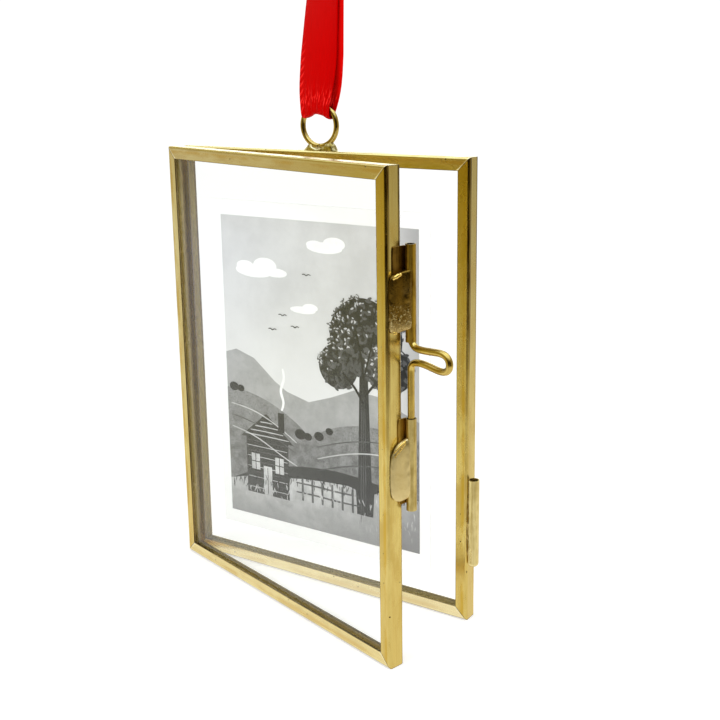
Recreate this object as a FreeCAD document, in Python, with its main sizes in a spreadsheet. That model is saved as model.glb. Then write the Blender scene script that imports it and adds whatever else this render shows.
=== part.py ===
# Hinged brass and glass photo frame ornament on a ribbon loop.
#
# Two equal frames of folded brass channel each grip one glass pane. The back frame carries the
# ring, the ribbon, the photo card and the keeper tube. The front frame is a door: it swings on a
# long pin hinge at its left side, and a wire bolt in two guide tubes locks it to the keeper.
#
# Millimetres, +Z up, +X to the right of the viewer, +Y away from the viewer. The origin is in the
# middle of the underside of the back frame. The door is built closed and then turned open about
# its hinge.

import FreeCAD, Part
import math
import os
import Sketcher

DRIVING_SIZES = [
    # frames, folded from one thickness of sheet
    ("frame_width", 73.0),
    ("frame_height", 96.5),
    ("lip_width", 2.65),
    ("sheet_thickness", 0.45),
    ("bend_radius", 0.55),
    ("glass_thickness", 2.5),
    ("glass_play", 0.1),
    ("glass_inset", 0.6),
    ("seam_gap", 0.2),
    ("door_angle", 15.8),
    # hinge
    ("hinge_radius", 0.9),
    ("hinge_bore_radius", 0.45),
    ("hinge_end_margin", 8.0),
    ("knuckle_gap", 0.3),
    ("leaf_thickness", 0.4),
    ("leaf_width", 2.6),
    ("pin_radius", 0.4),
    ("pin_head_radius", 0.75),
    ("pin_head_height", 0.5),
    ("pin_end_play", 0.1),
    # bolt, guide tubes and keeper tube
    ("guide_standoff", 1.25),
    ("guide_setback", 1.0),
    ("guide_radius", 1.0),
    ("guide_bore_radius", 0.72),
    ("guide_length", 18.0),
    ("upper_guide_rise", 16.3),
    ("lower_guide_drop", 16.25),
    ("keeper_standoff", 1.15),
    ("keeper_setback", 0.8),
    ("keeper_radius", 1.12),
    ("keeper_bore_radius", 0.92),
    ("keeper_length", 18.9),
    ("keeper_gap", 0.6),
    ("keeper_floor", 1.5),
    ("keeper_end_round", 0.8),
    ("bolt_radius", 0.65),
    ("bolt_rise", 0.25),
    ("bolt_stub", 12.5),
    ("bolt_bend", 1.2),
    ("bolt_reach", 8.8),
    ("bolt_loop_height", 2.7),
    ("bolt_tip_inset", 0.7),
    # solder
    ("solder_height", 11.5),
    ("upper_solder_rise", 1.5),
    ("lower_solder_rise", 2.0),
    ("solder_bulge", 9.5),
    ("upper_solder_angle", 75.0),
    ("lower_solder_angle", 40.0),
    ("solder_round", 2.2),
    ("solder_foot_round", 1.4),
    ("solder_notch_width", 1.4),
    ("solder_notch_round", 0.75),
    ("keeper_solder_height", 14.0),
    ("keeper_solder_rise", 0.9),
    # ring
    ("ring_outer_radius", 4.85),
    ("ring_wire_radius", 0.575),
    ("ring_lift", 0.3),
    ("ring_solder_shift", 0.2),
    ("ring_solder_length", 8.0),
    ("ring_solder_width", 2.2),
    ("ring_solder_height", 1.4),
    # ribbon
    ("ribbon_width", 9.2),
    ("ribbon_thickness", 0.5),
    ("ribbon_clearance", 0.3),
    ("ribbon_drop", 1.2),
    ("ribbon_gathered_width", 4.4),
    ("ribbon_flare_drop", 0.37),
    ("ribbon_shoulder_width", 7.8),
    ("ribbon_shoulder_rise", 1.0),
    ("ribbon_full_rise", 5.0),
    ("ribbon_half_gap", 0.05),
    ("ribbon_join_rise", 27.0),
    ("ribbon_part_rise", 54.0),
    ("ribbon_loop_rise", 62.0),
    ("ribbon_loop_radius", 3.2),
    ("ribbon_lean", 5.0),
    # card and its print
    ("card_side_margin", 6.35),
    ("card_foot_margin", 6.45),
    ("card_top_margin", 8.55),
    ("card_thickness", 0.3),
    ("print_side_border", 2.5),
    ("print_foot_border", 3.2),
    ("print_top_border", 3.4),
    ("print_thickness", 0.06),
]

# Derived places, as expressions of the driving sizes.
HALF_WIDTH = "Size.frame_width / 2"
DEPTH = "(Size.glass_thickness + 2 * Size.glass_play + 2 * Size.sheet_thickness)"
SEAM = f"(-{DEPTH} / 2 - Size.seam_gap / 2)"
DOOR_CENTRE = f"(-{DEPTH} - Size.seam_gap)"
HINGE_X = f"(-{HALF_WIDTH} - Size.hinge_radius)"
GUIDE_X = f"({HALF_WIDTH} + Size.guide_standoff)"
GUIDE_Y = f"({SEAM} + Size.guide_setback)"
KEEPER_X = f"({HALF_WIDTH} + Size.keeper_standoff)"
KEEPER_Y = f"({SEAM} + Size.keeper_setback)"
UPPER_GUIDE_BASE = "(Size.frame_height / 2 + Size.upper_guide_rise)"
LOWER_GUIDE_BASE = "(Size.frame_height / 2 - Size.lower_guide_drop)"
KEEPER_TOP = f"({LOWER_GUIDE_BASE} - Size.keeper_gap)"
KNUCKLE_LENGTH = (
    "((Size.frame_height - 2 * Size.hinge_end_margin - 2 * Size.knuckle_gap) / 3)")
CARD_WIDTH = "(Size.frame_width - 2 * Size.lip_width - 2 * Size.card_side_margin)"
CARD_BASE = "(Size.lip_width + Size.card_foot_margin)"
CARD_HEIGHT = f"(Size.frame_height - Size.lip_width - Size.card_top_margin - {CARD_BASE})"
PRINT_WIDTH = f"({CARD_WIDTH} - 2 * Size.print_side_border)"
PRINT_BASE = f"({CARD_BASE} + Size.print_foot_border)"
PRINT_HEIGHT = f"({CARD_HEIGHT} - Size.print_foot_border - Size.print_top_border)"
PANE_FRONT = "(-Size.glass_thickness / 2)"
RING_CENTRE = "(Size.frame_height + Size.ring_lift + Size.ring_outer_radius)"
RING_TOP = f"({RING_CENTRE} + Size.ring_outer_radius - Size.ring_wire_radius)"
BIGHT = f"({RING_TOP} - Size.ribbon_drop)"
NO_TURN = "rotation(vector(0; 0; 1); 0)"
DOOR_SWING = (
    "placement(vector(0; 0; 0); rotation(vector(0; 0; 1); -Size.door_angle);"
    f" vector({HINGE_X}; {SEAM}; 0))"
)

doc = FreeCAD.newDocument("photo_frame_ornament")


def write_sheet():
    """Put the driving sizes in the document's spreadsheet, each with its name as alias."""
    sheet = doc.addObject("Spreadsheet::Sheet", "Size")
    for row, (name, size) in enumerate(DRIVING_SIZES, start=1):
        sheet.set(f"A{row}", name)
        sheet.set(f"B{row}", str(size))
        sheet.setAlias(f"B{row}", name)
    doc.recompute()


def measure(owner, expression):
    """The number that an expression gives now."""
    return float(owner.evalExpression(expression))


def new_body(name, pose=None):
    body = doc.addObject("PartDesign::Body", name)
    body.Label = name
    if pose:
        body.setExpression("Placement", pose)
    return body


def new_sketch(body, plane_role, offset=None):
    """A sketch on one of the body's own origin planes, moved along its normal by offset."""
    sketch = body.newObject("Sketcher::SketchObject", f"{body.Name}_sketch")
    plane = next(item for item in body.Origin.OriginFeatures if item.Role == plane_role)
    sketch.AttachmentSupport = [(plane, "")]
    sketch.MapMode = "FlatFace"
    if offset:
        sketch.setExpression("AttachmentOffset.Base.z", offset)
        doc.recompute()
    return sketch


def pin_point(sketch, edge, end, u, v):
    """Hold a point of the sketch at the two coordinates that the expressions give."""
    for kind, axis, expression in (("DistanceX", -2, u), ("DistanceY", -1, v)):
        if expression == "0":
            sketch.addConstraint(Sketcher.Constraint("PointOnObject", edge, end, axis))
        else:
            size = measure(sketch, expression)
            index = sketch.addConstraint(Sketcher.Constraint(kind, -1, 1, edge, end, size))
            sketch.setExpression(f"Constraints[{index}]", expression)


def arc_between(start, finish, radius, turn):
    """Arc from start to finish, shorter than half a circle, to the left (1) or right (-1)."""
    chord = finish - start
    half = chord.Length / 2
    height = math.sqrt(max(radius * radius - half * half, 0.0))
    side = FreeCAD.Vector(-chord.y, chord.x, 0).normalize()
    centre = start + chord * 0.5 + side * (height * turn)
    first = start if turn > 0 else finish
    last = finish if turn > 0 else start
    from_angle = math.atan2(first.y - centre.y, first.x - centre.x)
    to_angle = math.atan2(last.y - centre.y, last.x - centre.x)
    if to_angle <= from_angle:
        to_angle += 2 * math.pi
    circle = Part.Circle(centre, FreeCAD.Vector(0, 0, 1), radius)
    return Part.ArcOfCircle(circle, from_angle, to_angle)


def draw(sketch, corners, arcs=None, closed=True):
    """Draw an outline or path whose corners are pinned by expressions.

    corners is a list of (u, v) expressions. arcs maps the number of an edge to (radius, turn).
    """
    arcs = arcs or {}
    places = [FreeCAD.Vector(measure(sketch, u), measure(sketch, v), 0) for u, v in corners]
    edge_count = len(corners) if closed else len(corners) - 1
    edges = []
    for number in range(edge_count):
        start = places[number]
        finish = places[(number + 1) % len(places)]
        if number in arcs:
            radius, turn = arcs[number]
            curve = arc_between(start, finish, measure(sketch, radius), turn)
            ends = (1, 2) if turn > 0 else (2, 1)
        else:
            curve = Part.LineSegment(start, finish)
            ends = (1, 2)
        edges.append((sketch.addGeometry(curve), ends))
    for number, (edge, ends) in enumerate(edges):
        if number > 0:
            before, before_ends = edges[number - 1]
            joint = Sketcher.Constraint("Coincident", before, before_ends[1], edge, ends[0])
            sketch.addConstraint(joint)
        pin_point(sketch, edge, ends[0], *corners[number])
    last, last_ends = edges[-1]
    if closed:
        first, first_ends = edges[0]
        joint = Sketcher.Constraint("Coincident", last, last_ends[1], first, first_ends[0])
        sketch.addConstraint(joint)
    else:
        pin_point(sketch, last, last_ends[1], *corners[-1])
    for number, (radius, turn) in arcs.items():
        size = measure(sketch, radius)
        index = sketch.addConstraint(Sketcher.Constraint("Radius", edges[number][0], size))
        sketch.setExpression(f"Constraints[{index}]", radius)


def draw_circle(sketch, u, v, radius):
    centre = FreeCAD.Vector(measure(sketch, u), measure(sketch, v), 0)
    size = measure(sketch, radius)
    edge = sketch.addGeometry(Part.Circle(centre, FreeCAD.Vector(0, 0, 1), size))
    pin_point(sketch, edge, 3, u, v)
    index = sketch.addConstraint(Sketcher.Constraint("Radius", edge, size))
    sketch.setExpression(f"Constraints[{index}]", radius)


def pad(body, sketch, length, both_ways=False):
    feature = body.newObject("PartDesign::Pad", f"{body.Name}_pad")
    feature.Profile = sketch
    feature.Midplane = both_ways
    feature.setExpression("Length", length)
    doc.recompute()
    return feature


def pocket(body, sketch, length, both_ways=False):
    """Cut against the sketch's normal, or both ways, and see that something came off."""
    before = body.Shape.Volume
    feature = body.newObject("PartDesign::Pocket", f"{body.Name}_pocket")
    feature.Profile = sketch
    feature.Midplane = both_ways
    feature.setExpression("Length", length)
    doc.recompute()
    if body.Shape.Volume >= before:
        raise RuntimeError(f"{feature.Name} cuts nothing")
    return feature


def round_edges(body, feature, radius, wanted):
    """Fillet the edges of a feature that wanted() picks by their shape."""
    names = [f"Edge{number}" for number, edge in enumerate(feature.Shape.Edges, 1) if wanted(edge)]
    fillet = body.newObject("PartDesign::Fillet", f"{body.Name}_fillet")
    fillet.Base = (feature, names)
    fillet.setExpression("Radius", radius)
    doc.recompute()


# Frames

def make_rail(name, side, centre, pose=None):
    """One side of a frame: a folded channel, open towards the pane, mitred at both ends.

    Its section is drawn in two directions: across the frame's depth, and inwards from the
    frame's outer edge.
    """
    width = "Size.frame_width"
    height = "Size.frame_height"
    lip = "Size.lip_width"
    wall = "Size.sheet_thickness"
    front = f"{centre} - {DEPTH} / 2"
    back = f"{centre} + {DEPTH} / 2"
    lying = side in ("bottom", "top")
    edge, inwards = {
        "bottom": ("0", ""),
        "top": (height, "-"),
        "left": (f"-{HALF_WIDTH}", ""),
        "right": (HALF_WIDTH, "-"),
    }[side]
    sign = inwards or "+"

    def place(across, inward):
        reach = edge if inward == "0" else f"{edge} {sign} {inward}"
        return (across, reach) if lying else (reach, across)

    body = new_body(name, pose)
    section = new_sketch(body, "YZ_Plane" if lying else "XY_Plane")
    draw(section, [
        place(front, "0"),
        place(back, "0"),
        place(back, lip),
        place(f"{back} - {wall}", lip),
        place(f"{back} - {wall}", wall),
        place(f"{front} + {wall}", wall),
        place(f"{front} + {wall}", lip),
        place(front, lip),
    ])
    channel = pad(body, section, width if lying else height, both_ways=lying)

    outer = measure(section, edge)

    def is_outer_bend(line):
        box = line.BoundBox
        if lying:
            return box.XLength > 1 and abs(box.ZMin - outer) < 1e-6 and abs(box.ZMax - outer) < 1e-6
        return box.ZLength > 1 and abs(box.XMin - outer) < 1e-6 and abs(box.XMax - outer) < 1e-6

    round_edges(body, channel, "Size.bend_radius", is_outer_bend)

    mitre = new_sketch(body, "XZ_Plane")
    reach = f"2 * {lip}"
    if lying:
        inner = f"{edge} {sign} {reach}"
        draw(mitre, [(f"-{HALF_WIDTH}", edge), (f"-{HALF_WIDTH} + {reach}", inner),
                     (f"-{HALF_WIDTH}", inner)])
        draw(mitre, [(HALF_WIDTH, edge), (HALF_WIDTH, inner),
                     (f"{HALF_WIDTH} - {reach}", inner)])
    else:
        inner = f"{edge} {sign} {reach}"
        draw(mitre, [(edge, "0"), (inner, "0"), (inner, reach)])
        draw(mitre, [(edge, height), (inner, height), (inner, f"{height} - {reach}")])
    pocket(body, mitre, f"6 * {DEPTH}", both_ways=True)
    return body


def make_frame(prefix, centre, pose=None):
    for side in ("top", "bottom", "left", "right"):
        make_rail(f"{prefix}_{side}_rail", side, centre, pose)


def make_box(name, corner, lengths, pose=None):
    """A plain block from its lowest corner, for panes and card."""
    block = doc.addObject("Part::Box", name)
    block.Label = name
    for side, length in zip(("Length", "Width", "Height"), lengths):
        block.setExpression(side, length)
    x, y, z = corner
    place = f"placement(vector({x}; {y}; {z}); {NO_TURN})"
    block.setExpression("Placement", f"{pose} * {place}" if pose else place)
    return block


def make_pane(name, centre, pose=None):
    corner = (
        f"-{HALF_WIDTH} + Size.glass_inset",
        f"{centre} - Size.glass_thickness / 2",
        "Size.glass_inset",
    )
    lengths = (
        "Size.frame_width - 2 * Size.glass_inset",
        "Size.glass_thickness",
        "Size.frame_height - 2 * Size.glass_inset",
    )
    make_box(name, corner, lengths, pose)


# Hinge: three rolled leaves on one headed pin

def knuckle_base(number):
    return f"Size.hinge_end_margin + {number} * ({KNUCKLE_LENGTH} + Size.knuckle_gap)"


def make_leaf(name, number, towards, pose=None):
    """A strip rolled to a knuckle, its flat leaf on the side face of its own frame."""
    body = new_body(name, pose)
    base = knuckle_base(number)
    knuckle = new_sketch(body, "XY_Plane", base)
    draw_circle(knuckle, HINGE_X, SEAM, "Size.hinge_radius")
    draw_circle(knuckle, HINGE_X, SEAM, "Size.hinge_bore_radius")
    pad(body, knuckle, KNUCKLE_LENGTH)
    leaf = new_sketch(body, "XY_Plane", base)
    inner = f"-{HALF_WIDTH}"
    outer = f"-{HALF_WIDTH} - Size.leaf_thickness"
    tip = f"{SEAM} {towards} Size.leaf_width"
    draw(leaf, [(outer, SEAM), (inner, SEAM), (inner, tip), (outer, tip)])
    pad(body, leaf, KNUCKLE_LENGTH)


def make_hinge_pin():
    """A turned pin with a peened head at each end."""
    body = new_body("hinge_pin", f"placement(vector({HINGE_X}; {SEAM}; 0); {NO_TURN})")
    profile = new_sketch(body, "XZ_Plane")
    foot = "(Size.hinge_end_margin - Size.pin_end_play)"
    crown = "(Size.frame_height - Size.hinge_end_margin + Size.pin_end_play)"
    low = f"{foot} - Size.pin_head_height"
    high = f"{crown} + Size.pin_head_height"
    pin = "Size.pin_radius"
    head = "Size.pin_head_radius"
    draw(profile, [("0", low), (head, low), (head, foot), (pin, foot),
                   (pin, crown), (head, crown), (head, high), ("0", high)])
    turned = body.newObject("PartDesign::Revolution", "hinge_pin_turned")
    turned.Profile = profile
    turned.ReferenceAxis = (profile, ["V_Axis"])
    turned.Angle = 360
    doc.recompute()


# Latch: a wire bolt with a thumb loop, two guide tubes on the door, a keeper tube on the back

def make_guide(name, base):
    body = new_body(name, DOOR_SWING)
    rings = new_sketch(body, "XY_Plane", base)
    draw_circle(rings, GUIDE_X, GUIDE_Y, "Size.guide_radius")
    draw_circle(rings, GUIDE_X, GUIDE_Y, "Size.guide_bore_radius")
    pad(body, rings, "Size.guide_length")


def make_keeper():
    """A tube with a closed, rounded foot, open at the top for the bolt."""
    body = new_body("keeper_tube")
    base = f"{KEEPER_TOP} - Size.keeper_length"
    disc = new_sketch(body, "XY_Plane", base)
    draw_circle(disc, KEEPER_X, KEEPER_Y, "Size.keeper_radius")
    stem = pad(body, disc, "Size.keeper_length")
    foot = measure(disc, base)
    round_edges(body, stem, "Size.keeper_end_round",
                lambda edge: edge.BoundBox.ZMax < foot + 1e-6)
    bore = new_sketch(body, "XY_Plane", KEEPER_TOP)
    draw_circle(bore, KEEPER_X, KEEPER_Y, "Size.keeper_bore_radius")
    pocket(body, bore, "Size.keeper_length - Size.keeper_floor")


def make_bolt():
    """One bent wire: a stub in the upper guide, a hairpin thumb loop, a leg in the lower guide."""
    body = new_body(
        "latch_bolt", f"{DOOR_SWING} * placement(vector({GUIDE_X}; {GUIDE_Y}; 0); {NO_TURN})")
    bend = "Size.bolt_bend"
    reach = "Size.bolt_reach"
    shoulder = f"({UPPER_GUIDE_BASE} + Size.bolt_rise)"
    stub_top = f"{shoulder} + Size.bolt_stub"
    upper = f"{shoulder} - {bend}"
    lower = f"{upper} - Size.bolt_loop_height"
    tip = f"{LOWER_GUIDE_BASE} + Size.bolt_tip_inset"
    spine = new_sketch(body, "XZ_Plane")
    nose = "Size.bolt_loop_height / 2"
    draw(spine, [
        ("0", stub_top),
        ("0", shoulder),
        (bend, upper),
        (reach, upper),
        (f"{reach} + {nose}", f"{upper} - {nose}"),
        (reach, lower),
        (bend, lower),
        ("0", f"{lower} - {bend}"),
        ("0", tip),
    ], arcs={1: (bend, 1), 3: (nose, -1), 4: (nose, -1), 6: (bend, 1)}, closed=False)
    section = new_sketch(body, "XY_Plane", stub_top)
    draw_circle(section, "0", "0", "Size.bolt_radius")
    doc.recompute()
    wire = body.newObject("PartDesign::AdditivePipe", "latch_bolt_wire")
    wire.Profile = section
    wire.Spine = (spine, [f"Edge{number}" for number in range(1, 9)])
    doc.recompute()


# Solder

def on_guide(angle):
    """A point of a guide tube's wall at an angle in degrees from +X."""
    return (f"{GUIDE_X} + Size.guide_radius * cos({angle})",
            f"{GUIDE_Y} + Size.guide_radius * sin({angle})")


def on_keeper(angle):
    return (f"{KEEPER_X} + Size.keeper_radius * cos({angle})",
            f"{KEEPER_Y} + Size.keeper_radius * sin({angle})")


def make_guide_solder(name, base, meets_at):
    """A flow of solder from the door's side face onto the tube, rounded above and below."""
    body = new_body(name, DOOR_SWING)
    top = f"({base} + Size.solder_height)"
    face_front = f"({DOOR_CENTRE} - {DEPTH} / 2 + Size.bend_radius)"
    face_back = f"({DOOR_CENTRE} + {DEPTH} / 2 - Size.bend_radius)"
    section = new_sketch(body, "XY_Plane", base)
    draw(section, [
        (HALF_WIDTH, face_front),
        on_guide(meets_at),
        on_guide(-170),
        (HALF_WIDTH, face_back),
    ], arcs={0: ("Size.solder_bulge", 1), 1: ("Size.guide_radius", -1)})
    pad(body, section, "Size.solder_height")

    outline = new_sketch(body, "YZ_Plane")
    beyond = f"{face_front} - Size.solder_round"
    above = f"{top} + Size.solder_round"
    draw(outline, [
        (face_front, f"{top} - Size.solder_round"),
        (f"{face_front} + Size.solder_round", top),
        (f"{face_front} + Size.solder_round", above),
        (beyond, above),
        (beyond, f"{top} - Size.solder_round"),
    ], arcs={0: ("Size.solder_round", -1)})
    below = f"{base} - Size.solder_foot_round"
    draw(outline, [
        (face_front, f"{base} + Size.solder_foot_round"),
        (beyond, f"{base} + Size.solder_foot_round"),
        (beyond, below),
        (f"{face_front} + Size.solder_foot_round", below),
        (f"{face_front} + Size.solder_foot_round", base),
    ], arcs={4: ("Size.solder_foot_round", -1)})
    pocket(body, outline, "2 * Size.frame_width", both_ways=True)

    notch = new_sketch(body, "YZ_Plane")
    notch_back = f"{GUIDE_Y} - Size.guide_radius / 2"
    notch_front = f"{notch_back} - Size.solder_notch_width"
    draw(notch, [
        (notch_front, below),
        (notch_back, below),
        (notch_back, base),
        (notch_front, base),
    ], arcs={2: ("Size.solder_notch_round", 1)})
    pocket(body, notch, "2 * Size.frame_width", both_ways=True)


def make_keeper_solder():
    """A fillet of solder behind the keeper tube, where it meets the back frame's side face."""
    body = new_body("keeper_solder")
    face_front = f"(-{DEPTH} / 2 + Size.bend_radius)"
    face_back = f"({DEPTH} / 2 - Size.bend_radius)"
    base = f"{KEEPER_TOP} - Size.keeper_length + Size.keeper_end_round + Size.keeper_solder_rise"
    section = new_sketch(body, "XY_Plane", base)
    draw(section, [
        (HALF_WIDTH, face_front),
        on_keeper(170),
        on_keeper(70),
        (HALF_WIDTH, face_back),
    ], arcs={1: ("Size.keeper_radius", -1)})
    pad(body, section, "Size.keeper_solder_height")


# Ring and ribbon

def make_ring():
    ring = doc.addObject("Part::Torus", "hanging_ring")
    ring.Label = "hanging_ring"
    ring.setExpression("Radius1", "Size.ring_outer_radius - Size.ring_wire_radius")
    ring.setExpression("Radius2", "Size.ring_wire_radius")
    ring.setExpression(
        "Placement", f"placement(vector(0; 0; {RING_CENTRE}); rotation(vector(1; 0; 0); 90))")
    return ring


def make_ring_solder(ring):
    """A low mound of solder on the top rail that the ring stands in."""
    mound = doc.addObject("Part::Ellipsoid", "solder_mound")
    mound.setExpression("Radius1", "Size.ring_solder_height")
    mound.setExpression("Radius2", "Size.ring_solder_length / 2")
    mound.setExpression("Radius3", "Size.ring_solder_width / 2")
    mound.Angle1 = 0
    mound.setExpression("Placement", (
        f"placement(vector(Size.ring_solder_shift; 0; Size.frame_height); {NO_TURN})"))
    solder = doc.addObject("Part::Cut", "ring_solder")
    solder.Label = "ring_solder"
    solder.Base = mound
    solder.Tool = ring


def make_ribbon():
    """A flat ribbon loop: gathered where it passes under the ring's top, two straps side by
    side above that, and an open eye at the top for a hook or twig."""
    lean = (
        "placement(vector(0; 0; 0); rotation(vector(0; 1; 0); Size.ribbon_lean);"
        f" vector(0; 0; {RING_TOP}))"
    )
    body = new_body("hanging_ribbon", lean)
    inner = "(Size.ring_wire_radius + Size.ribbon_clearance)"
    strap = "Size.ribbon_thickness"
    gap = "Size.ribbon_half_gap"
    eye = "Size.ribbon_loop_radius"
    join = f"{BIGHT} + Size.ribbon_join_rise"
    part = f"{BIGHT} + Size.ribbon_part_rise"
    crown = f"{BIGHT} + Size.ribbon_loop_rise"
    side = new_sketch(body, "YZ_Plane")
    for grow in ("", f" + {strap}"):
        at_ring = f"({inner}{grow})"
        at_join = f"({gap}{grow})"
        at_eye = f"({eye}{grow})"
        draw(side, [
            (f"-{at_ring}", BIGHT),
            ("0", f"{BIGHT} - {at_ring}"),
            (at_ring, BIGHT),
            (at_join, join),
            (at_join, part),
            (at_eye, crown),
            ("0", f"{crown} + {at_eye}"),
            (f"-{at_eye}", crown),
            (f"-{at_join}", part),
            (f"-{at_join}", join),
        ], arcs={0: (at_ring, 1), 1: (at_ring, 1), 5: (at_eye, 1), 6: (at_eye, 1)})
    pad(body, side, "Size.ribbon_width", both_ways=True)

    trim = new_sketch(body, "XZ_Plane")
    low = f"{BIGHT} - {inner} - 2 * {strap}"
    flare = f"{BIGHT} - Size.ribbon_flare_drop"
    for sign in ("", "-"):
        draw(trim, [
            (f"{sign}Size.ribbon_gathered_width / 2", low),
            (f"{sign}Size.ribbon_gathered_width / 2", flare),
            (f"{sign}Size.ribbon_shoulder_width / 2", f"{BIGHT} + Size.ribbon_shoulder_rise"),
            (f"{sign}Size.ribbon_width / 2", f"{BIGHT} + Size.ribbon_full_rise"),
            (f"{sign}Size.ribbon_width", f"{BIGHT} + Size.ribbon_full_rise"),
            (f"{sign}Size.ribbon_width", low),
        ])
    pocket(body, trim, "2 * Size.ribbon_width", both_ways=True)


# Card with a plain landscape in three greys, as shares of the print's width and height

HILL_CORNERS = [(0.0, 0.0), (1.0, 0.0), (1.0, 0.36), (0.46, 0.31), (0.0, 0.43)]
HILL_ARCS = {2: (0.62, 1), 3: (0.7, 1)}
BANK_CORNERS = [(0.0, 0.0), (1.0, 0.0), (1.0, 0.17), (0.0, 0.11)]
BANK_ARCS = {2: (1.3, 1)}
HUT_CORNERS = [(0.10, 0.08), (0.34, 0.08), (0.34, 0.27), (0.37, 0.27), (0.22, 0.36),
               (0.07, 0.27), (0.10, 0.27)]
TRUNK_TOP = 0.56
TRUNK_CORNERS = [(0.71, 0.08), (0.79, 0.08), (0.77, TRUNK_TOP), (0.73, TRUNK_TOP)]
# Each crown of the tree: place across, rise above the trunk's top and radius, all in print widths.
CROWNS = [(0.75, 0.14, 0.17), (0.62, 0.0, 0.10), (0.87, 0.014, 0.10)]


def print_point(across, up):
    """A point of the print from its shares of the print's width and height."""
    return (f"({across} - 0.5) * {PRINT_WIDTH}",
            f"{PRINT_BASE} + {up} * {PRINT_HEIGHT}")


def draw_shares(sketch, corners, arcs=None):
    scaled = {edge: (f"{share} * {PRINT_WIDTH}", turn)
              for edge, (share, turn) in (arcs or {}).items()}
    draw(sketch, [print_point(*corner) for corner in corners], scaled)


def make_card():
    card_front = f"({PANE_FRONT} - Size.card_thickness)"
    ink_front = f"({card_front} - Size.print_thickness)"
    make_box("photo_card",
             (f"-{CARD_WIDTH} / 2", card_front, CARD_BASE),
             (CARD_WIDTH, "Size.card_thickness", CARD_HEIGHT))
    make_box("photo_print",
             (f"-{PRINT_WIDTH} / 2", ink_front, PRINT_BASE),
             (PRINT_WIDTH, "Size.print_thickness", PRINT_HEIGHT))

    dark = new_body("print_dark_tones")
    shapes = [(HUT_CORNERS, None), (TRUNK_CORNERS, None), (BANK_CORNERS, BANK_ARCS)]
    for corners, arcs in shapes:
        shape = new_sketch(dark, "XZ_Plane", f"-{ink_front}")
        draw_shares(shape, corners, arcs)
        pad(dark, shape, "Size.print_thickness")
    for across, rise, share in CROWNS:
        crown = new_sketch(dark, "XZ_Plane", f"-{ink_front}")
        x, z = print_point(across, TRUNK_TOP)
        draw_circle(crown, x, f"{z} + {rise} * {PRINT_WIDTH}", f"{share} * {PRINT_WIDTH}")
        pad(dark, crown, "Size.print_thickness")

    hills = new_body("print_hills_whole")
    shape = new_sketch(hills, "XZ_Plane", f"-{ink_front}")
    draw_shares(shape, HILL_CORNERS, HILL_ARCS)
    pad(hills, shape, "Size.print_thickness")
    middle = doc.addObject("Part::Cut", "print_mid_tones")
    middle.Label = "print_mid_tones"
    middle.Base = hills
    middle.Tool = dark


def build():
    write_sheet()
    make_frame("back", "0")
    make_frame("door", DOOR_CENTRE, DOOR_SWING)
    make_pane("back_pane", "0")
    make_pane("door_pane", DOOR_CENTRE, DOOR_SWING)
    make_leaf("lower_hinge_leaf", 0, "+")
    make_leaf("middle_hinge_leaf", 1, "-", DOOR_SWING)
    make_leaf("upper_hinge_leaf", 2, "+")
    make_hinge_pin()
    make_guide("upper_guide_tube", UPPER_GUIDE_BASE)
    make_guide("lower_guide_tube", LOWER_GUIDE_BASE)
    make_guide_solder(
        "upper_guide_solder", f"({UPPER_GUIDE_BASE} + Size.upper_solder_rise)",
        "-Size.upper_solder_angle")
    make_guide_solder(
        "lower_guide_solder", f"({LOWER_GUIDE_BASE} + Size.lower_solder_rise)",
        "-Size.lower_solder_angle")
    make_bolt()
    make_keeper()
    make_keeper_solder()
    make_ring_solder(make_ring())
    make_ribbon()
    make_card()
    doc.recompute()


NODES = [
    "back_top_rail", "back_bottom_rail", "back_left_rail", "back_right_rail",
    "door_top_rail", "door_bottom_rail", "door_left_rail", "door_right_rail",
    "back_pane", "door_pane",
    "lower_hinge_leaf", "middle_hinge_leaf", "upper_hinge_leaf", "hinge_pin",
    "upper_guide_tube", "lower_guide_tube", "upper_guide_solder", "lower_guide_solder",
    "latch_bolt", "keeper_tube", "keeper_solder",
    "hanging_ring", "ring_solder", "hanging_ribbon",
    "photo_card", "photo_print", "print_mid_tones", "print_dark_tones",
]


def write_parts():
    for item in doc.Objects:
        if "Invalid" in item.State or "Error" in item.State:
            raise RuntimeError(f"{item.Name} failed: {item.State}")
    os.makedirs("parts", exist_ok=True)
    for name in NODES:
        piece = doc.getObjectsByLabel(name)[0]
        shape = piece.Shape
        if shape.isNull() or not shape.isValid() or not shape.Solids:
            raise RuntimeError(f"{name} has no valid solid")
        shape.exportStep(f"parts/{name}.step")
        box = shape.BoundBox
        print(f"{name:20s} {len(shape.Solids)} solid {shape.Volume:9.2f} mm3 "
              f"x {box.XMin:7.2f} {box.XMax:7.2f} y {box.YMin:7.2f} {box.YMax:7.2f} "
              f"z {box.ZMin:7.2f} {box.ZMax:7.2f}")


build()
write_parts()
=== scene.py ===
"""Looks of a small hinged brass picture frame on a ribbon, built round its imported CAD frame."""

import math
from functools import partial

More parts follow.
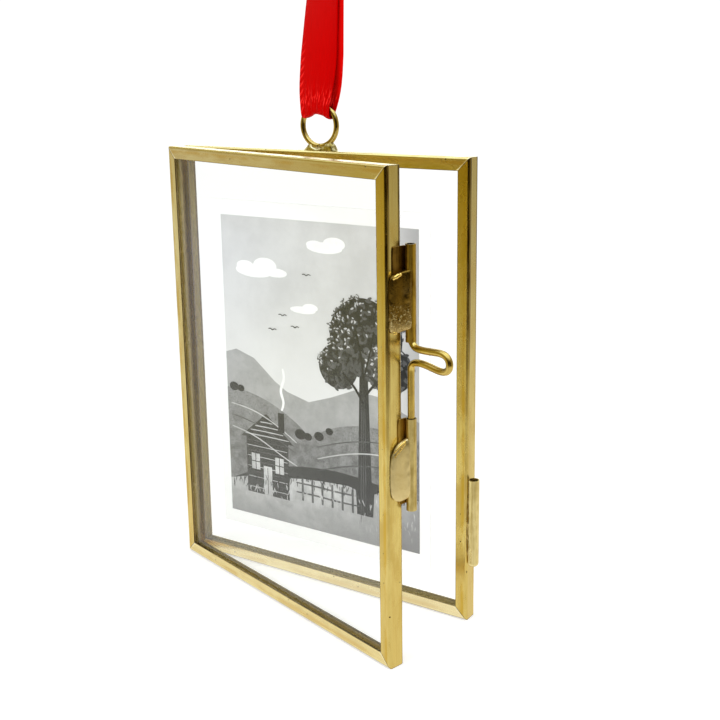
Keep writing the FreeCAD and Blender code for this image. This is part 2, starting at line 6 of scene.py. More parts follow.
import bpy
import numpy as np
from bpy.props import FloatProperty, FloatVectorProperty, PointerProperty
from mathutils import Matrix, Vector


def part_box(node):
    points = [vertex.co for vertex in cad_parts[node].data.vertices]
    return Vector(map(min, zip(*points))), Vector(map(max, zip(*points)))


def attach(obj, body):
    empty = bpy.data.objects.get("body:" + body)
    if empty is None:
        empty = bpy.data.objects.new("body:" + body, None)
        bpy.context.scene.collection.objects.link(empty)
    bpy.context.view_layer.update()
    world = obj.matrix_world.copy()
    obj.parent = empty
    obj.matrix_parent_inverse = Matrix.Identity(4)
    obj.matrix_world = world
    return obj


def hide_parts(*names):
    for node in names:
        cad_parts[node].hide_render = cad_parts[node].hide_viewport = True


bl_info = {
    "name": "Hinged brass picture frame",
    "version": (1, 0, 0),
    "blender": (4, 5, 0),
    "location": "3D View > Sidebar > Picture frame",
    "description": "Dresses the packed frame with brass, glass, solder, card and ribbon",
    "category": "Object",
}

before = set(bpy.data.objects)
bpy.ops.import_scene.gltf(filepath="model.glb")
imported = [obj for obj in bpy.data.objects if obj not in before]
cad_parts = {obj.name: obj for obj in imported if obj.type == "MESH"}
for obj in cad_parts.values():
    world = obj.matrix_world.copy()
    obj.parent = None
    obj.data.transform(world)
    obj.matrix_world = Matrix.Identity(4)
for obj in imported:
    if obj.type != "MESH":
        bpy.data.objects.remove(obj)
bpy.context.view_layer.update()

MM = 0.001
DOOR_ANGLE = math.radians(15.8)  # how far the door stands open at rest
HINGE = (-37.4, -1.9)  # the hinge pin's axis, in mm
HALF_WIDTH = 36.5
HEIGHT = 96.5
HALF_DEPTH = 1.8  # half the channel's depth
DOOR_CENTRE = -3.8  # the shut door's middle plane
RING_CENTRE = 101.65
RING_LINE = 4.275  # radius of the ring's wire centre line
RING_WIRE = 0.575

BACK_RAILS = ("back_top_rail", "back_bottom_rail", "back_left_rail", "back_right_rail")
DOOR_RAILS = ("door_top_rail", "door_bottom_rail", "door_left_rail", "door_right_rail")


def linear(code):
    """An sRGB hex colour as linear red, green and blue: a straight line near black, a power of
    2.4 above."""
    c = np.array([int(code[i : i + 2], 16) for i in (1, 3, 5)]) / 255
    return tuple(np.where(c <= 0.04045, c / 12.92, ((c + 0.055) / 1.055) ** 2.4))


def rgba(colour):
    """A colour with full alpha, from a hex code or a linear triple."""
    return (*(linear(colour) if isinstance(colour, str) else colour)[:3], 1.0)


class PictureFrameSizes(bpy.types.PropertyGroup):
    """Sizes a user would change."""

    ribbon_width: FloatProperty(
        name="Ribbon width",
        description="Width of the satin ribbon where it hangs flat",
        default=9.0 * MM,
        min=4 * MM,
        max=12 * MM,
        unit="LENGTH",
    )
    ribbon_thickness: FloatProperty(
        name="Ribbon thickness",
        description="Thickness of the woven satin",
        default=0.22 * MM,
        min=0.1 * MM,
        max=0.5 * MM,
        unit="LENGTH",
    )
    bolt_wire: FloatProperty(
        name="Bolt wire radius",
        description="Radius of the wire that the sliding bolt is bent from",
        default=0.67 * MM,
        min=0.4 * MM,
        max=0.7 * MM,
        unit="LENGTH",
    )
    lumpiness: FloatProperty(
        name="Solder lumps",
        description="How far the solder stands up and down from a smooth fillet",
        default=0.1 * MM,
        min=0.0,
        max=0.3 * MM,
        unit="LENGTH",
    )


def colour_property(name, description, code):
    """A colour a user would change, with the hex code as its default."""
    return FloatVectorProperty(
        name=name,
        description=description,
        default=linear(code),
        size=3,
        min=0,
        max=1,
        subtype="COLOR",
    )


class PictureFrameColours(bpy.types.PropertyGroup):
    """Colours a user would change."""

    brass: colour_property("Brass", "Clean rolled brass", "#DEC97E")
    tarnish: colour_property("Tarnish", "Brass where it has dulled", "#C2A044")
    # Besides oxide, this colour paints a dark reflection in the front folds and a shade line under
    # the lower rails.
    fold: colour_property("Folds", "Dark oxide left in the folds", "#4A2E02")
    solder: colour_property("Solder", "Brass-washed solder", "#E2CD94")
    # The upper guide run's dark colour, darker than the lower run's as painted shade.
    burnt: colour_property("Burnt solder", "Solder browned by the iron", "#7A5E24")
    satin: colour_property("Ribbon", "Red satin", "#BE0000")


# ---------------------------------------------------------------- surfaces


def smooth_line(controls, per_span=8, ring=False):
    """A uniform cubic B-spline: each span blends four neighbouring control points with the cubic
    basis. An open line repeats its ends so that it starts and stops on them; a ring runs on from
    its last point to its first."""
    c = np.asarray(controls, float)
    ends = (c[-1:], c, c[:2]) if ring else (c[:1], c[:1], c, c[-1:], c[-1:])
    c = np.vstack(ends)
    t = np.linspace(0, 1, per_span, endpoint=False)[:, None, None]
    basis = ((1 - t) ** 3, 3 * t**3 - 6 * t**2 + 4, -3 * t**3 + 3 * t**2 + 3 * t + 1, t**3)
    spans = len(c) - 3
    line = sum(b * c[None, i : i + spans] for i, b in enumerate(basis)) / 6
    line = line.transpose(1, 0, 2).reshape(-1, c.shape[1])
    return line if ring else np.vstack([line, c[-1:]])


def waves(points, size, seed, count=14):
    """A smooth random field between about -1 and 1: the mean of cosine waves of about the given
    size, in seeded directions."""
    draw = np.random.default_rng(seed)
    ways = draw.normal(size=(count, points.shape[-1]))
    ways /= np.linalg.norm(ways, axis=1)[:, None]
    ways *= (2 * np.pi / size) * draw.uniform(0.6, 1.6, count)[:, None]
    phase = draw.uniform(0, 2 * np.pi, count)
    return np.cos(points @ ways.T + phase).sum(-1) * math.sqrt(2 / count)


def carried(path, profile, aside):
    """A profile carried along a path: each profile point is the path point plus its first number
    across, at right angles to the path and to the fixed vector aside, and its second along
    aside."""
    way = np.gradient(path, axis=0)
    way /= np.linalg.norm(way, axis=1)[:, None]
    across = np.cross(way, np.asarray(aside, float))
    across /= np.linalg.norm(across, axis=1)[:, None]
    up = np.cross(across, way)
    out, along_aside = profile[..., 0, None], profile[..., 1, None]
    return path[:, None] + out * across[:, None] + along_aside * up[:, None]


def circle(radius, count):
    """Points round a circle: radius times the cosine and sine of even angles."""
    a = np.arange(count) * 2 * np.pi / count
    return radius * np.stack([np.cos(a), np.sin(a)], -1)


def round_and_along(path, count):
    """A UV map for a wire, in mm: the sine of the turn round it and the length run along it, with
    the two cap points at its ends."""
    step = np.linalg.norm(np.diff(path, axis=0), axis=1)
    run = np.concatenate([[0], np.cumsum(step)])
    turn = np.sin(np.arange(count) * 2 * np.pi / count)
    uv = np.stack(np.broadcast_arrays(turn[None], run[:, None]), -1).reshape(-1, 2)
    return np.vstack([uv, (0, 0), (0, run[-1])])


def skin(name, grid, closed=True, uv=None):
    """A mesh from a grid of points in mm. Neighbours in the grid share a four-sided face, a
    closed grid joins its last column to its first and has a cap at each end, a fan to the middle
    of the end row. A closed skin whose volume counts negative has its faces turned, so that they
    point outwards."""
    rows, cols = grid.shape[:2]
    index = np.arange(rows * cols).reshape(rows, cols)
    if closed:
        index = np.hstack([index, index[:, :1]])
    faces = np.stack(
        [index[:-1, :-1], index[:-1, 1:], index[1:, 1:], index[1:, :-1]], -1
    ).reshape(-1, 4)
    points = grid.reshape(-1, 3)
    fans = []
    if closed:
        points = np.vstack([points, grid[0].mean(0), grid[-1].mean(0)])
        first, last = index[0], index[-1]
        low, high = rows * cols, rows * cols + 1
        fans = [
            np.stack([np.full(cols, low), first[1:], first[:-1]], -1),
            np.stack([np.full(cols, high), last[:-1], last[1:]], -1),
        ]
    tris = np.vstack([faces[:, [0, 1, 2]], faces[:, [0, 2, 3]], *fans])
    a, b, c = (points[tris[:, i]] for i in range(3))
    inside_out = closed and (a * np.cross(b, c)).sum() < 0
    polygons = [p[:, ::-1] if inside_out else p for p in [faces, *fans]]
    mesh = bpy.data.meshes.new(name)
    mesh.from_pydata((points * MM).tolist(), [], [f for p in polygons for f in p.tolist()])
    mesh.polygons.foreach_set("use_smooth", np.ones(len(mesh.polygons), bool))
    if uv is not None:
        layer = mesh.uv_layers.new(name="cloth")
        corner = np.empty(len(mesh.loops), np.int32)
        mesh.loops.foreach_get("vertex_index", corner)
        layer.uv.foreach_set("vector", uv.reshape(-1, 2)[corner].ravel())
    mesh.update()
    piece = bpy.data.objects.new(name, mesh)
    bpy.context.collection.objects.link(piece)
    return piece


def finish_with(piece, kind, **settings):
    """Adds a modifier with its settings."""
    modifier = piece.modifiers.new(kind.title(), kind)
    for key, value in settings.items():
        setattr(modifier, key, value)


def door_point(along, back, up):
    """Points given from the upper guide's axis, along the door away from its hinge, back towards
    the rear frame and up, turned to where the door stands at rest."""
    low, high = (np.array(c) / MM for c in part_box("upper_guide_tube"))
    axis = (low + high)[:2] / 2
    c, s = math.cos(DOOR_ANGLE), math.sin(DOOR_ANGLE)
    x, y = axis[0] + along * c + back * s, axis[1] - along * s + back * c
    return np.stack([x, y, up + 0 * along], -1)


def lump(outline, core, low, high, square, place, bumps, seed, size=1.6, lean=0.0):
    """Solder run along a joint: a closed outline carried upwards and drawn in to a core line at
    both ends by a superellipse of power square, then pushed in and out along its own spokes by
    waves of the given size, whose two heights hold at the bottom and the top. lean lifts the
    outline's far side."""
    ring = smooth_line(outline, 10, ring=True)
    core = np.asarray(core, float)
    turn = np.linspace(-np.pi / 2, np.pi / 2, 46)[1:-1]
    rise = np.sin(turn)
    draw_in = (1 - np.abs(rise) ** square) ** (1 / square)
    spokes = ring - core
    reach = draw_in[:, None, None] * spokes[None]
    flat = core + reach
    mid, half = (low + high) / 2, (high - low) / 2
    up = mid + half * rise[:, None] + lean * flat[..., 1]
    grid = np.dstack([flat, up])
    length = np.linalg.norm(spokes, axis=-1, keepdims=True)
    bumps = np.interp(rise, (-1, -0.1, 0.5, 1), np.repeat(bumps, 2))[:, None]
    push = bumps * (waves(grid, size, seed) + 0.6 * waves(grid, size / 2.6, seed + 1))
    grid[..., :2] += push[..., None] * draw_in[:, None, None] * (spokes / length)[None]
    return place(grid[..., 0], grid[..., 1], grid[..., 2])


# --------------------------------------------------------------- materials

MATH, MIX, RANGE = "ShaderNodeMath", "ShaderNodeMix", "ShaderNodeMapRange"
NOISE, MAPPING, BUMP = "ShaderNodeTexNoise", "ShaderNodeMapping", "ShaderNodeBump"
COORDINATES, VECTORS = "ShaderNodeTexCoord", "ShaderNodeVectorMath"
# A Range takes a value, the two ends it comes from and the two it goes to. A Mix takes its share
# on input 0, two numbers on 2 and 3 or two colours on 6 and 7, and gives a colour on output 2.
SMOOTH = {"interpolation_type": "SMOOTHSTEP"}
COLOURS = {"data_type": "RGBA"}
TIMES, PLUS, MINUS = ({"operation": name} for name in ("MULTIPLY", "ADD", "SUBTRACT"))
TIMES_PLUS, ABOVE = ({"operation": name} for name in ("MULTIPLY_ADD", "GREATER_THAN"))
LARGER, SMALLER = ({"operation": name} for name in ("MAXIMUM", "MINIMUM"))
SIZE_OF, FACING = {"operation": "ABSOLUTE"}, {"operation": "DOT_PRODUCT"}


def add(tree, kind, inputs=(), out=None, **settings):
    """Adds a node with its settings. Each input, in a list or by name, takes a socket, which is
    linked, or a plain value; a ramp's stops are pairs of a place and a colour. Returns the node,
    or the output that out names."""
    node = tree.nodes.new(kind)
    for key, value in settings.items():
        if key == "stops":
            ramp = node.color_ramp.elements
            while len(ramp) < len(value):
                ramp.new(1.0)
            for element, (place, colour) in zip(ramp, value):
                element.position, element.color = place, rgba(colour)
        else:
            setattr(node, key, value)
    pairs = inputs.items() if isinstance(inputs, dict) else enumerate(inputs)
    for key, value in pairs:
        if isinstance(value, bpy.types.NodeSocket):
            tree.links.new(value, node.inputs[key])
        else:
            plain = node.inputs[key]
            plain.default_value = rgba(value) if plain.type == "RGBA" else value
    return node if out is None else node.outputs[out]


def blank(name, **shader):
    """A new material with one Principled shader, its plain values set on its own sockets."""
    made = bpy.data.materials.new(name)
    made.use_nodes = True
    made.node_tree.nodes.clear()
    new = partial(add, made.node_tree)
    surface = new("ShaderNodeBsdfPrincipled", shader)
    result = new("ShaderNodeOutputMaterial", [surface.outputs[0]])
    return made, new, surface, result


def joined(made, shader, **inputs):
    """Links sockets to a shader's inputs, whose spaces are written as underscores."""
    for key, socket in inputs.items():
        made.node_tree.links.new(socket, shader.inputs[key.replace("_", " ")])
    return made


def colours():
    """The colours as the panel has them."""
    return bpy.context.scene.picture_frame_colours


def sizes():
    """The sizes as the panel has them."""
    return bpy.context.scene.picture_frame_sizes


def shut(on_door):
    """The settings that turn Object coordinates on the door back to where it shuts, so that one
    set of distances from the edges serves both frames."""
    turn = DOOR_ANGLE if on_door else 0.0
    c, s = math.cos(turn), math.sin(turn)
    shift = (
        HINGE[0] - (c * HINGE[0] - s * HINGE[1]),
        HINGE[1] - (s * HINGE[0] + c * HINGE[1]) - DOOR_CENTRE,
        0,
    )
    return {"Location": [v * MM * on_door for v in shift], "Rotation": (0, 0, turn)}


def channel_brass(name, along, on_door):
    """Rolled brass strip, folded to a channel and lacquered thinly. The eye sees soft streaks
    along the rail, blotches where it has dulled, a richer gold beside the front fold, small dark
    pits, oxide on the cut lip, and at each mitre a dark line. Painted light and shade: a dark
    reflection in the front fold, a highlight beside each mitre, a pale reflection on the level
    rails, a shade line along the foot of the lower rails, a deeper gold reflection at the head of
    the right upright, feet of the uprights darker towards the bottom, and a pale matt skin in the
    shaded recesses."""
    coat = {"Coat Weight": 0.15, "Coat Roughness": 0.2}
    made, new, shader, _ = blank(name, Metallic=1.0, **coat)
    brass, tarnish, fold = colours().brass, colours().tarnish, colours().fold
    where = new(COORDINATES, out="Object")
    own = new(MAPPING, {"Vector": where, **shut(on_door)}, 0)

    def rail(share):
        """A scale that draws a pattern out along the rail."""
        return (share, 1, 1) if along == "x" else (1, 1, share)

    streaked = new(MAPPING, {"Vector": own, "Scale": rail(0.06)}, 0)
    streaks = new(
        NOISE, {"Vector": streaked, "Scale": 1 / (0.5 * MM), "Detail": 3.0, "Roughness": 0.6}, 0,
    )
    drifted = new(MAPPING, {"Vector": own, "Scale": rail(0.3)}, 0)
    blotches = new(
        NOISE, {"Vector": drifted, "Scale": 1 / (2.6 * MM), "Detail": 5.0, "Roughness": 0.6}, 0,
    )
    pit = new("ShaderNodeTexVoronoi", {"Vector": own, "Scale": 1 / (1.3 * MM)})
    chance = new("ShaderNodeSeparateColor", [pit.outputs["Color"]], 0)
    deep = new(RANGE, [chance, 0.72, 1.0, 0, 0.09], 0, **SMOOTH)
    inside = new(MATH, [pit.outputs["Distance"], deep], 0, **MINUS)
    pits = new(RANGE, [inside, 0.0, 0.06, 0.8, 0], 0, **SMOOTH)

    axes = new("ShaderNodeSeparateXYZ", [own]).outputs
    out_x = new(MATH, [axes[0]], 0, **SIZE_OF)
    inward = new(MATH, [HALF_WIDTH * MM, out_x], 0, **MINUS)
    out_y = new(MATH, [axes[1]], 0, **SIZE_OF)
    deepness = new(MATH, [HALF_DEPTH * MM, out_y], 0, **MINUS)
    headroom = new(MATH, [HEIGHT * MM, axes[2]], 0, **MINUS)
    low = new(MATH, [axes[2], headroom], 0, **SMALLER)
    edge = inward if along == "z" else low
    # The front fold is painted dark: a painted reflection of the dim room, broken along the
    # streaks.
    shallow = new(MATH, [deepness, 0.3 * MM], 0, **MINUS)
    corner = new(MATH, [edge, shallow], 0, **LARGER)
    folded = new(RANGE, [corner, 0.3 * MM, 0.6 * MM, 1, 0], 0, **SMOOTH)
    fold_streaks = new(RANGE, [streaks, 0.35, 0.7, 0.55, 1], 0, **SMOOTH)
    # The fold's painted dark reflection fades out towards the bottom of the front, where the fold
    # mirrors the pale floor; at the rear it stays.
    most = 1.0 if along == "z" else 0.12
    dark_reflection_by_height = new(RANGE, [axes[2], 36 * MM, 76 * MM, 0.02, most], 0, **SMOOTH)
    rear = new(RANGE, [axes[1], 1.2 * MM, 1.6 * MM, 0, 0.95], 0, **SMOOTH)
    kept = new(MATH, [dark_reflection_by_height, rear], 0, **LARGER)
    for part in (fold_streaks, kept):
        folded = new(MATH, [folded, part], 0, **TIMES)
    inner = new(MATH, [inward, low], 0, **SMALLER)
    lip = new(RANGE, [inner, 2.5 * MM, 2.63 * MM, 0, 0.75], 0, **SMOOTH)
    off = new(MATH, [inward, low], 0, **MINUS)
    apart = new(MATH, [off], 0, **SIZE_OF)
    seam = new(RANGE, [apart, 0.04 * MM, 0.11 * MM, 1, 0], 0, **SMOOTH)
    # A painted highlight beside each mitre, on the level rail's side.
    upright = -1 if along == "z" else 1
    beside = new(MATH, [off, upright * 0.2 * MM], 0, **MINUS)
    beside = new(MATH, [beside], 0, **SIZE_OF)
    wide = new(RANGE, [inner, 1.5 * MM, 2.6 * MM, 0.2 * MM, 0.5 * MM], 0)
    mitre_highlight = new(RANGE, [beside, 0.08 * MM, wide, 0.6 if along == "x" else 0, 0], 0, **SMOOTH)
    edge_line = new(
        RANGE, [axes[1], 1.45 * MM, 1.75 * MM, 0, 0.3 if on_door else 0.85], 0, **SMOOTH,
    )
    on_side = new(RANGE, [edge, 0.05 * MM, 0.3 * MM, 1, 0], 0, **SMOOTH)
    edge_line = new(MATH, [edge_line, on_side], 0, **TIMES)

    dulled = new(RANGE, [blotches, 0.42, 0.7, 0, 0.5], 0, **SMOOTH)
    inside_it = new(RANGE, [edge, 0.6 * MM, 0.9 * MM, 0, 0.8], 0, **SMOOTH)
    beside_fold = new(RANGE, [edge, 1.1 * MM, 1.8 * MM, 1, 0], 0, **SMOOTH)
    patchy = new(RANGE, [blotches, 0.35, 0.62], 0, **SMOOTH)
    gold = beside_fold
    for part in (patchy, inside_it):
        gold = new(MATH, [gold, part], 0, **TIMES)
    fine = new(RANGE, [streaks, 0.3, 0.75, 0, 0.3], 0, **SMOOTH)
    layers = [(dulled, tarnish), (gold, "#CDA52C"), (fine, tarnish)]
    if along == "x":
        # The level rails are painted paler, most of all the lower ones: a painted pale reflection.
        pale_reflection = new(RANGE, [axes[2], 0.0, 90 * MM, 0.2 if on_door else 0.42, 0.08], 0)
        # A painted shade line along the foot of the lower rails, in the fold colour.
        under = new(RANGE, [axes[2], 0.1 * MM, 0.5 * MM, 0.85, 0], 0, **SMOOTH)
        layers += [(pale_reflection, "#FBF3D8"), (under, fold)]
    else:
        # The front of the upright at the right is painted a deeper gold at its head: a painted dim
        # reflection.
        amber_reflection = new(RANGE, [axes[2], 60 * MM, 90 * MM, 0, 0.8], 0, **SMOOTH)
        right = new(RANGE, [axes[0], 0, 10 * MM], 0)
        front = new(RANGE, [axes[1], -1.7 * MM, -1.3 * MM, 1, 0], 0)
        for part in (right, front):
            amber_reflection = new(MATH, [amber_reflection, part], 0, **TIMES)
        # The feet of the uprights are darker towards the bottom.
        foot = new(RANGE, [axes[2], 10 * MM, 28 * MM, 0.35, 0], 0, **SMOOTH)
        layers += [(amber_reflection, "#CDAC38"), (foot, tarnish)]
    # Inside the channel, and where the other frame shuts close before it, the
    # strip is painted pale and made less metallic: painted light in these shaded recesses.
    within = new(RANGE, [out_y, 1.5 * MM, 1.6 * MM, 1, 0], 0)
    behind_fold = new(RANGE, [inner, 0.32 * MM, 0.4 * MM, 0, 0.12], 0)
    deeper = new(RANGE, [inner, 0.5 * MM, 1.2 * MM, 0, 0.88], 0)
    behind_fold = new(MATH, [behind_fold, deeper], 0, **PLUS)
    recess_painted_light = new(MATH, [within, behind_fold], 0, **TIMES)
    if not on_door:
        near_hinge = new(RANGE, [axes[0], -33.9 * MM, -33.7 * MM, 0.35, 0], 0)
        facing = new(RANGE, [axes[1], -1.7 * MM, -1.6 * MM, 1, 0], 0)
        facing = new(MATH, [facing, near_hinge], 0, **TIMES)
        recess_painted_light = new(MATH, [recess_painted_light, facing], 0, **LARGER)
    recess_painted_light = new(MATH, [recess_painted_light, 0.75 if along == "z" else 0.22], 0, **TIMES)
    layers += [(recess_painted_light, "#D4C28A"), (edge_line, "#5C5840"), (mitre_highlight, "#FBEFC0")]
    layers += [(mark, fold) for mark in (seam, lip, folded, pits)]
    base = brass
    for share, colour in layers:
        base = new(MIX, {0: share, 6: base, 7: colour}, 2, **COLOURS)
    open_end = new(RANGE, [inner, 1.2 * MM, 2.4 * MM, 0.2, 0.9], 0)
    open_end = new(MATH, [mitre_highlight, open_end], 0, **TIMES)
    open_end = new(MATH, [open_end, recess_painted_light], 0, **LARGER)
    metal = new(MATH, [1.0, open_end], 0, **MINUS)
    rough = new(RANGE, [blotches, 0.3, 0.7, 0.17, 0.32], 0, **SMOOTH)
    rough = new(MATH, [pits, 0.3, rough], 0, **TIMES_PLUS)
    low_spots = new(MATH, [pits, seam], 0, **LARGER)
    height = new(MATH, [streaks, 0.3, 0.0], 0, **TIMES_PLUS)
    height = new(MATH, [height, low_spots], 0, **MINUS)
    bump = new(BUMP, {"Height": height, "Strength": 0.4, "Distance": 0.05 * MM}, 0)
    return joined(made, shader, Base_Color=base, Metallic=metal, Roughness=rough, Normal=bump)


def drawn_brass(name, gloss, bright, dark, grain, own_length=False, bore=None):
    """Brass drawn to wire or small tube. The eye sees faint die lines along it, brown tarnish in
    soft patches, a sharper shine than on the strip and, in a tube, a bore painted near black as
    shade round the axis given in mm."""
    made, new, shader, _ = blank(name, Metallic=1.0)
    where = new(COORDINATES, out="Object")
    # A bent wire carries its own length and turn in its UV map.
    laid = new(COORDINATES, out="UV") if own_length else where
    scale = (4, 0.08, 1) if own_length else (1, 1, 0.05)
    lines = new(MAPPING, {"Vector": laid, "Scale": scale}, 0)
    unit = 1.0 if own_length else MM
    drawn = new(NOISE, {"Vector": lines, "Scale": 1 / (grain * unit), "Detail": 3.0}, 0)
    patches = new(
        NOISE, {"Vector": where, "Scale": 1 / (3.2 * MM), "Detail": 4.0, "Roughness": 0.6}, 0,
    )
    both = new(MIX, {0: 0.5, 2: drawn, 3: patches}, 0)
    share = new(RANGE, [both, 0.42, 0.68], 0, **SMOOTH)
    base = new(MIX, {0: share, 6: bright, 7: dark}, 2, **COLOURS)
    if bore:
        flat = new(
            MAPPING,
            {"Vector": where, "Location": (-bore[0] * MM, -bore[1] * MM, 0), "Scale": (1, 1, 0)},
            0,
        )
        out = new(VECTORS, [flat], "Value", operation="LENGTH")
        # Painted shade: the bore is painted near black.
        bore_shade = new(RANGE, [out, 0.86 * MM, 0.9 * MM, 1, 0], 0)
        base = new(MIX, {0: bore_shade, 6: base, 7: "#100A02"}, 2, **COLOURS)
    rough = new(RANGE, [both, 0.35, 0.7, gloss, gloss + 0.14], 0, **SMOOTH)
    bump = new(BUMP, {"Height": drawn, "Strength": 0.25, "Distance": 0.03 * MM}, 0)
    return joined(made, shader, Base_Color=base, Roughness=rough, Normal=bump)


def run_solder(name, light, dark, share, rough, crumple, heights=None, on_door=False):
    """Soft solder, run in by hand and brass washed. The eye sees a wrinkled skin, paler where it
    is thick, brown in patches where the iron burnt it, with a few pinholes. Of three heights, it
    is pale below the first, wrinkled up to the second and smooth above the third; it darkens from
    the first height to the second and stays dark above, as painted shade, and the crests of its
    wrinkles carry painted highlights from the first height to the third. On the door, a painted
    shadow lies in a line where it meets the rail."""
    made, new, shader, _ = blank(name, Metallic=1.0)
    where = new(COORDINATES, out="Object")
    cloud = new(
        NOISE, {"Vector": where, "Scale": 1 / (2.6 * MM), "Detail": 4.0, "Distortion": 0.5}, 0,
    )
    wrinkles = new(
        NOISE, {"Vector": where, "Scale": 1 / (0.4 * MM), "Detail": 3.0, "Distortion": 1.0}, 0,
    )
    pin = new("ShaderNodeTexVoronoi", {"Vector": where, "Scale": 1 / (1.1 * MM)}, "Distance")
    holes = new(RANGE, [pin, 0.03, 0.1, 0.5, 0], 0, **SMOOTH)
    burnt = new(RANGE, [cloud, share - 0.14, share + 0.14, 1, 0], 0, **SMOOTH)
    if heights:
        pale, wrinkled, smooth = (v * MM for v in heights)
        up = new("ShaderNodeSeparateXYZ", [where], 2)
        # Painted shade: darker from the first height to the second, and dark above it.
        browned = new(RANGE, [up, pale, wrinkled, 0, 0.9], 0, **SMOOTH)
        burnt = new(MATH, [burnt, 0.25, browned], 0, **TIMES_PLUS)
        crumple = new(RANGE, [up, wrinkled, smooth, crumple, 0.012], 0, **SMOOTH)
        dotted = new(RANGE, [up, wrinkled, smooth, 1, 0], 0, **SMOOTH)
        holes = new(MATH, [holes, dotted], 0, **TIMES)
        above_pale = new(RANGE, [up, pale - 1 * MM, pale + 1 * MM], 0, **SMOOTH)
        # Painted highlights: the crests of the wrinkles are painted pale cream.
        crests = new(RANGE, [wrinkles, 0.56, 0.68, 0, 0.8], 0, **SMOOTH)
        for part in (dotted, above_pale):
            crests = new(MATH, [crests, part], 0, **TIMES)
    layers = [(burnt, dark), (holes, dark)] + ([(crests, "#FFEDB4")] if heights else [])
    # Painted shadow: on the door, a dark line where the solder meets the rail.
    if on_door:
        own = new(MAPPING, {"Vector": where, **shut(True)}, 0)
        along = new("ShaderNodeSeparateXYZ", [own], 0)
        near = (HALF_WIDTH + 0.02) * MM
        contact_shadow = new(RANGE, [along, near, near + 0.4 * MM, 0.85, 0], 0, **SMOOTH)
        layers.append((contact_shadow, "#3A2606"))
    base = light
    for part, colour in layers:
        base = new(MIX, {0: part, 6: base, 7: colour}, 2, **COLOURS)
    gloss = new(RANGE, [wrinkles, 0.3, 0.7, rough - 0.06, rough + 0.1], 0, **SMOOTH)
    height = new(MATH, [wrinkles, holes], 0, **MINUS)
    relief = (0.26 if heights else 0.1) * MM
    bump = new(BUMP, {"Height": height, "Strength": crumple, "Distance": relief}, 0)
    return joined(made, shader, Base_Color=base, Roughness=gloss, Normal=bump)


def float_glass(name):
    """Thin float glass. The eye sees through it, with a faint green grey in its thickness and a
    few smears, and lamps shine through it."""
    tints = {"Base Color": "#FEFFFE", "Specular Tint": "#8C8C8C"}
    made, new, shader, result = blank(name, IOR=1.5, **{"Transmission Weight": 1.0}, **tints)
    where = new(COORDINATES, out="Object")
    smears = new(
        NOISE, {"Vector": where, "Scale": 1 / (14 * MM), "Detail": 4.0, "Distortion": 0.8}, 0,
    )
    haze = new(RANGE, [smears, 0.45, 0.8, 0, 0.035], 0, **SMOOTH)
    clear = new("ShaderNodeBsdfTransparent", ["#FBFCFB"], 0)
    rays = new("ShaderNodeLightPath").outputs
    lighting = new(MATH, [rays["Is Shadow Ray"], rays["Is Diffuse Ray"]], 0, **LARGER)
    both = new("ShaderNodeMixShader", [lighting, shader.outputs[0], clear], 0)
    joined(made, result, Surface=both)
    return joined(made, shader, Roughness=haze)


def paper(name, low, high, size, fleck=None, drifts=()):
    """Smooth board or printed paper. The eye sees an even matt face with the faint mottle of the
    fibres and, on print, drifts of tone and the grain of the exposure. Each drift has an axis,
    two places on it, the share reached there and its tone."""
    made, new, shader, _ = blank(name)
    where = new(COORDINATES, out="Object")
    axes = new("ShaderNodeSeparateXYZ", [where]).outputs
    mottle = new(
        NOISE, {"Vector": where, "Scale": 1 / (size * MM), "Detail": 8.0, "Roughness": 0.65}, 0,
    )
    share = new(RANGE, [mottle, 0.32, 0.68], 0, **SMOOTH)
    base = new(MIX, {0: share, 6: low, 7: high}, 2, **COLOURS)
    for axis, start, end, reached, tone in drifts:
        part = new(RANGE, [axes[axis], start * MM, end * MM, 0, reached], 0, **SMOOTH)
        base = new(MIX, {0: part, 6: base, 7: tone}, 2, **COLOURS)
    fibres = new(NOISE, {"Vector": where, "Scale": 1 / (0.35 * MM), "Detail": 2.0}, 0)
    if fleck:
        spots = new(RANGE, [fibres, 0.45, 0.75, 0, 0.6], 0, **SMOOTH)
        base = new(MIX, {0: spots, 6: base, 7: fleck}, 2, **COLOURS)
    rough = new(RANGE, [fibres, 0.3, 0.7, 0.65, 0.83], 0, **SMOOTH)
    bump = new(BUMP, {"Height": fibres, "Strength": 0.15, "Distance": 0.02 * MM}, 0)
    return joined(made, shader, Base_Color=base, Roughness=rough, Normal=bump)


